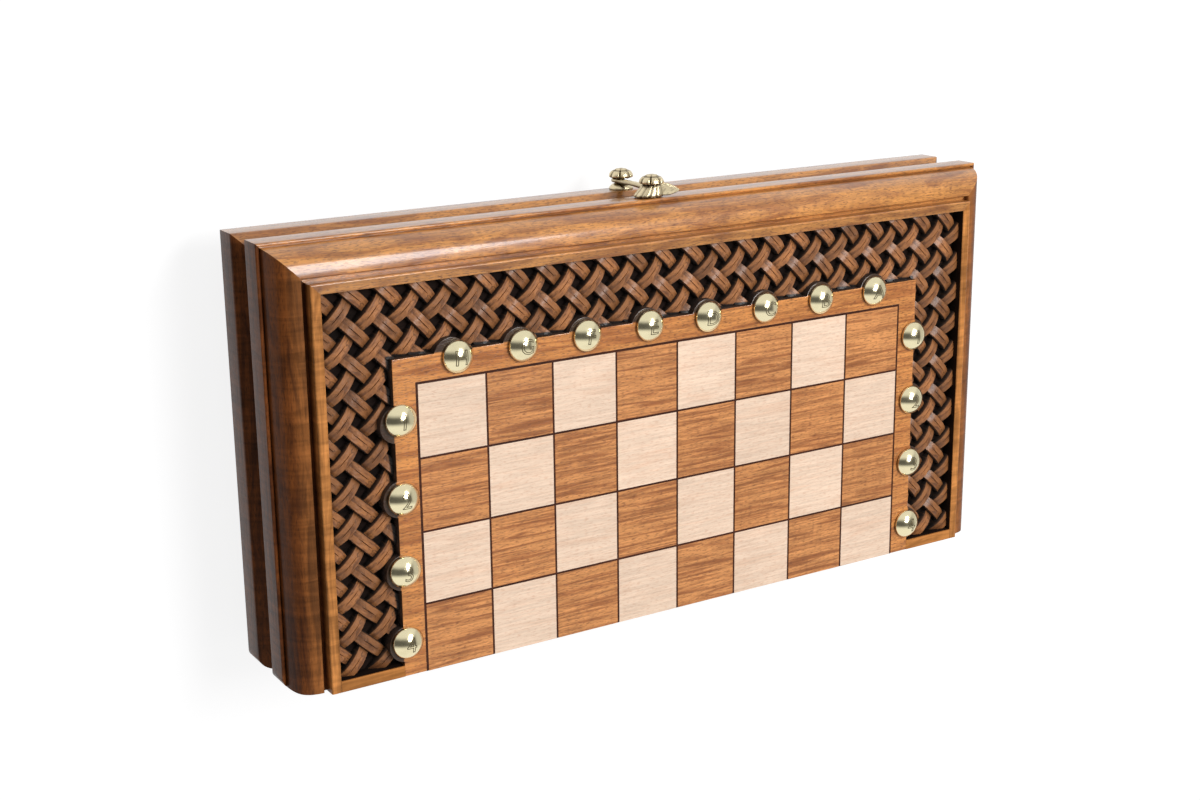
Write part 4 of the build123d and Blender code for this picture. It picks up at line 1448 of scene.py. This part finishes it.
@dataclass
class GamePieces(Assembly):
    """Draughtsmen and dice inside the case. The sizes of the men are in millimetres."""

    man_r: float = 16.5
    man_t: float = 9.0
    die: float = 14.0 * MM
    die_round: float = 2.2 * MM
    pip_r: float = 1.25 * MM
    pip_sink: float = 0.2 * MM
    pip_rise: float = 0.04 * MM

    def man(self) -> Piece:
        """One draughtsman, turned with a raised rim, a groove and a shallow dish, on z = 0."""
        r, t = self.man_r, self.man_t
        middle = t / 2
        rings = [
            (0.0, 0.0, 0.0), (r - 1.2, 0.0, 0.0), (r - 0.35, 0.35, 0.0), (r, 1.2, 0.0),
            (r - 0.5, middle - 0.5, 0.0), (r - 0.9, middle, 0.5), (r - 0.5, middle + 0.5, 0.0),
            (r, t - 1.2, 0.0), (r - 0.35, t - 0.35, 0.0), (r - 1.2, t, 0.0), (12.6, t, 0.0),
            (12.1, t - 0.6, 0.8), (11.6, t, 0.0), (9.6, t - 0.1, 0.0), (8.9, t - 0.9, 0.3),
            (6.0, t - 1.5, 0.0), (3.4, t - 1.6, 0.0), (3.0, t - 2.0, 0.6), (2.6, t - 1.6, 0.0),
            (0.0, t - 1.1, 0.0),
        ]
        return piece_from(lathe(in_mm(rings), 40, 0.6), "man")

    def places(self, node: str) -> list[Point]:
        """Middles of the undersides of the men in a node: two rows, eight and seven."""
        low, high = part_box(node)
        r = self.man_r * MM
        pitch = (high.x - low.x - 2 * r) / 7
        rows = [(8, low.y + r), (7, high.y - r)]
        if not node.startswith("light"):
            rows = [(8, high.y - r), (7, low.y + r)]
        return [((n - (count - 1) / 2) * pitch, y, low.z) for count, y in rows for n in range(count)]

    def pip_places(self) -> list[Matrix]:
        """Places of the pips on the six faces of a die about the origin."""
        step = self.die * 0.25
        corners, middles = ((-1, -1), (-1, 1), (1, -1), (1, 1)), ((-1, 0), (1, 0))
        quarter = math.pi / 2
        faces = (
            ((0, 0), ((0, 0),)), ((2 * quarter, 0), corners + middles),
            ((quarter, 0), (corners[0], corners[3])), ((-quarter, 0), corners + ((0, 0),)),
            ((0, quarter), (corners[0], (0, 0), corners[3])), ((0, -quarter), corners),
        )
        found = []
        for (about_x, about_y), spots in faces:
            face = Euler((about_x, about_y, 0)).to_matrix().to_4x4()
            for i, j in sorted(spots):
                found.append(face @ Matrix.Translation((i * step, j * step, self.die / 2)))
        return found

    def pip(self, place: Matrix) -> Piece:
        """One pip, a low painted cup."""
        r, sink, rise = self.pip_r, self.pip_sink, self.pip_rise
        rings = [(0, -sink, 0), (r, -sink, 0), (r, 0.0, 0), (r * 0.9, rise, 0), (0, rise / 2, 0)]
        bm = lathe(rings, 16, 0.6)
        bm.transform(place)
        return piece_from(bm, "pip")

    def dice(self) -> None:
        """Two rounded dice with sunken-looking pips."""
        low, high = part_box("dice")
        y, z, half = (low.y + high.y) / 2, (low.z + high.z) / 2, self.die / 2
        blocks, pips = [], []
        for x, turn in ((low.x + half, 0.0), (high.x - half, math.pi / 2)):
            place = Matrix.Translation((x, y, z)) @ Euler((0.0, turn, turn)).to_matrix().to_4x4()
            bm = bmesh.new()
            bmesh.ops.create_cube(bm, size=self.die)
            bmesh.ops.bevel(bm, geom=bm.edges[:], offset=self.die_round, segments=4, affect="EDGES",
                            profile=0.5)
            soften(bm, 0.5)
            bm.transform(place)
            blocks.append(piece_from(bm, "block"))
            pips += [self.pip(place @ matrix) for matrix in self.pip_places()]
        dress(join(blocks, "dice_blocks", self.palette["die"]), "base", "die", "dice")
        dress(join(pips, "dice_pips", self.palette["pip"]), "base", "die")

    def build(self) -> None:
        """Makes and ties the men and the dice."""
        man = self.man()
        for tint, seed in (("light", 31), ("dark", 37)):
            node = f"{tint}_checkers"
            piece = self.repeater.repeat(
                f"turned_{node}", self.places(node), man, self.palette[f"{tint}_man"], seed,
                Turn_Spread=3.1, Tone_Spread=0.12,
            )
            dress(piece, "base", f"{tint}_piece", node)
        bpy.data.objects.remove(man)
        self.dice()


@dataclass
class Hinges(Assembly):
    """Brass butt hinges: the frame's leaves and pins, with the screws added."""

    head_r: float = 2.3 * MM
    sink: float = 0.6 * MM
    rise: float = 0.09 * MM
    slot: float = 0.3 * MM
    spread: float = 13.0 * MM
    inset: float = 6.6 * MM
    half_leaf: float = 20.0 * MM

    def screw(self) -> Piece:
        """A flat screw head with its slot, upside down on z = 0."""
        r = self.head_r
        rings = [(0.0, -self.sink, 1.0), (r * 0.7, -self.sink, 1.0), (r, -0.02 * MM, 0.8),
                 (r, 0.05 * MM, 0.1), (r * 0.9, self.rise, 0.0), (0.0, self.rise, 0.0)]
        bm = lathe(rings, 28)
        for side in (-1, 1):
            split(bm, (0, side * self.slot, 0), (0, 1, 0))
        shade = bm.verts.layers.float["shade"]
        for face in bm.faces:
            if face.normal.z > 0.9 and abs(face.calc_center_median().y) < self.slot - 0.01 * MM:
                for corner in face.verts:
                    corner[shade] = 1.0
        soften(bm)
        bm.transform(Matrix.Rotation(math.pi, 4, "X"))
        return piece_from(bm, "screw")

    def build(self) -> None:
        """Dresses the leaves and pins and adds the screws."""
        brass = self.palette["brass"]
        for node in ("base_hinge_leaves", "lid_hinge_leaves", "hinge_pins"):
            dress_node(node, brass)
        low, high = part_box("lid_hinge_leaves")
        middle = (high.x - low.x) / 2 - self.half_leaf
        xs = [side * middle + n * self.spread for side in (-1, 1) for n in (-1, 0, 1)]
        places = [(x, self.inset, self.layout.seam) for x in xs]
        screw = self.screw()
        for half in Half:
            name = f"{half.value}_hinge_screws"
            self.tie(self.repeater.repeat(name, places, screw, brass, 41, Turn_Spread=1.5), half, "brass")
        bpy.data.objects.remove(screw)


@dataclass
class Studio:
    """Floor, lamp, world and camera.

    The eye is given from the foot of the hinge wall's middle at the level of the lid's face.
    """

    layout: Layout
    eye: Point = (-0.57947, 0.42078, 0.84886)
    right: Point = (0.84878, -0.01091, 0.52863)
    up: Point = (0.15121, 0.96304, -0.22291)
    lens: float = 53.44
    floor_size: float = 8.0
    paper: Colour = (0.24, 0.24, 0.243)
    glow: float = 0.85
    white: Colour = (1.0, 1.0, 1.0)
    lamp_spot: Point = (0.36, 0.52, 1.60)
    lamp_target: Point = (0.0, 0.0, 0.05)
    lamp_size: Plan = (0.46, 1.0)
    lamp_power: float = 21.4

    def floor(self) -> None:
        """White floor that keeps the object's soft shadow."""
        bm = bmesh.new()
        bmesh.ops.create_grid(bm, x_segments=1, y_segments=1, size=self.floor_size)
        g = Finish("studio_floor")
        paper = g.node("ShaderNodeBsdfDiffuse", inputs={"Color": self.paper})
        strength = self.seen(g) * self.glow
        glow = g.node("ShaderNodeEmission", inputs={"Color": self.white, "Strength": strength})
        both = g.node("ShaderNodeAddShader", inputs={0: paper, 1: glow})
        g.node("ShaderNodeOutputMaterial", inputs={"Surface": both})
        piece_from(bm, "studio_floor", g.material)

    def seen(self, g: Graph) -> Value:
        """Whether a ray comes from the camera, or from it by gloss or glass, as 0 or 1."""
        path = g.node("ShaderNodeLightPath", output="Is Camera Ray")
        outputs = path.socket.node.outputs
        gloss, glass = (Value(g, outputs[f"Is {kind} Ray"]) for kind in ("Glossy", "Transmission"))
        return g.math("MINIMUM", path + gloss + glass, 1.0)

    def world(self) -> None:
        """Pale room: white behind the object, with bright walls and a dim middle in what gloss shows."""
        world = bpy.data.worlds.new("studio")
        world.use_nodes = True
        bpy.context.scene.world = world
        g = Graph(world.node_tree)
        x, y, _ = g.parts(g.node("ShaderNodeTexCoord", output="Generated"))
        camera = g.node("ShaderNodeLightPath", output="Is Camera Ray")
        table = g.steep(y * -1.0, 0.22, 0.60)
        window = g.steep(y, 0.12, 0.60)
        side = g.steep(x, 0.62, 0.88)
        lit = g.math("MAXIMUM", g.math("MAXIMUM", table, window * 0.85), side * 0.6)
        mirror = 0.12 + lit * 0.88
        soft = g.math("MAXIMUM", 0.36 + x * 0.16 + y * 0.14, 0.04)
        room = mirror * self.seen(g) + soft * (1.0 - self.seen(g))
        level = g.math("MAXIMUM", camera, room)
        sky = g.node("ShaderNodeBackground", inputs={"Color": self.white, "Strength": level})
        g.node("ShaderNodeOutputWorld", inputs={"Surface": sky})

    def lamp(self) -> None:
        """Soft rectangular lamp."""
        data = bpy.data.lights.new("window", "AREA")
        data.shape = "RECTANGLE"
        data.size, data.size_y = self.lamp_size
        data.energy = self.lamp_power
        made = linked("window", data)
        made.location = self.lamp_spot
        aim = Vector(self.lamp_target) - Vector(self.lamp_spot)
        made.rotation_euler = aim.to_track_quat("-Z", "Y").to_euler()

    def camera(self) -> None:
        """Camera at the photograph's place, rolled as the photograph is framed."""
        data = bpy.data.cameras.new("photo")
        data.lens = self.lens
        data.sensor_width = 36.0
        data.clip_start = 0.01
        right, up = Vector(self.right), Vector(self.up)
        axes = Matrix((right, up, right.cross(up))).transposed()
        lay = self.layout
        spot = Vector(self.eye) + Vector((0.0, lay.hinge_y, lay.seam_z + lay.depth))
        made = linked("photo", data)
        made.matrix_world = Matrix.Translation(spot) @ axes.to_4x4()
        bpy.context.scene.camera = made

    def build(self) -> None:
        """Sets up the whole studio."""
        self.floor()
        self.world()
        self.lamp()
        self.camera()
        bpy.context.scene.view_settings.view_transform = "Standard"


class GamesCase:
    """The whole set."""

    NODE_FINISHES = {
        "light_squares": "beech", "dark_squares": "stained", "carved_panel": "ground",
        "hinge_rail": "walnut", "playing_board": "board", "light_points": "light_point",
        "dark_points": "dark_point",
    }

    def __init__(self) -> None:
        """Reads the frame and mixes the finishes."""
        self.layout = Layout.read()
        self.palette = Palette(self.layout)
        self.repeater = Repeater()

    def build(self) -> None:
        """Builds and dresses every piece."""
        shared = (self.layout, self.palette, self.repeater)
        for half in Half:
            for kind in (Rails, ChessFace, Weave, Studs):
                kind(*shared).build(half)
            for node, finish in self.NODE_FINISHES.items():
                dress_node(f"{half.value}_{node}", self.palette[finish])
        for kind in (Latch, Hinges, GamePieces):
            kind(*shared).build()


def main() -> None:
    """Builds the set and its studio."""
    logging.basicConfig(level=logging.INFO, format="%(name)s: %(message)s")
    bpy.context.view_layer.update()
    case = GamesCase()
    case.build()
    Studio(case.layout).build()


if __name__ == "__main__":
    main()
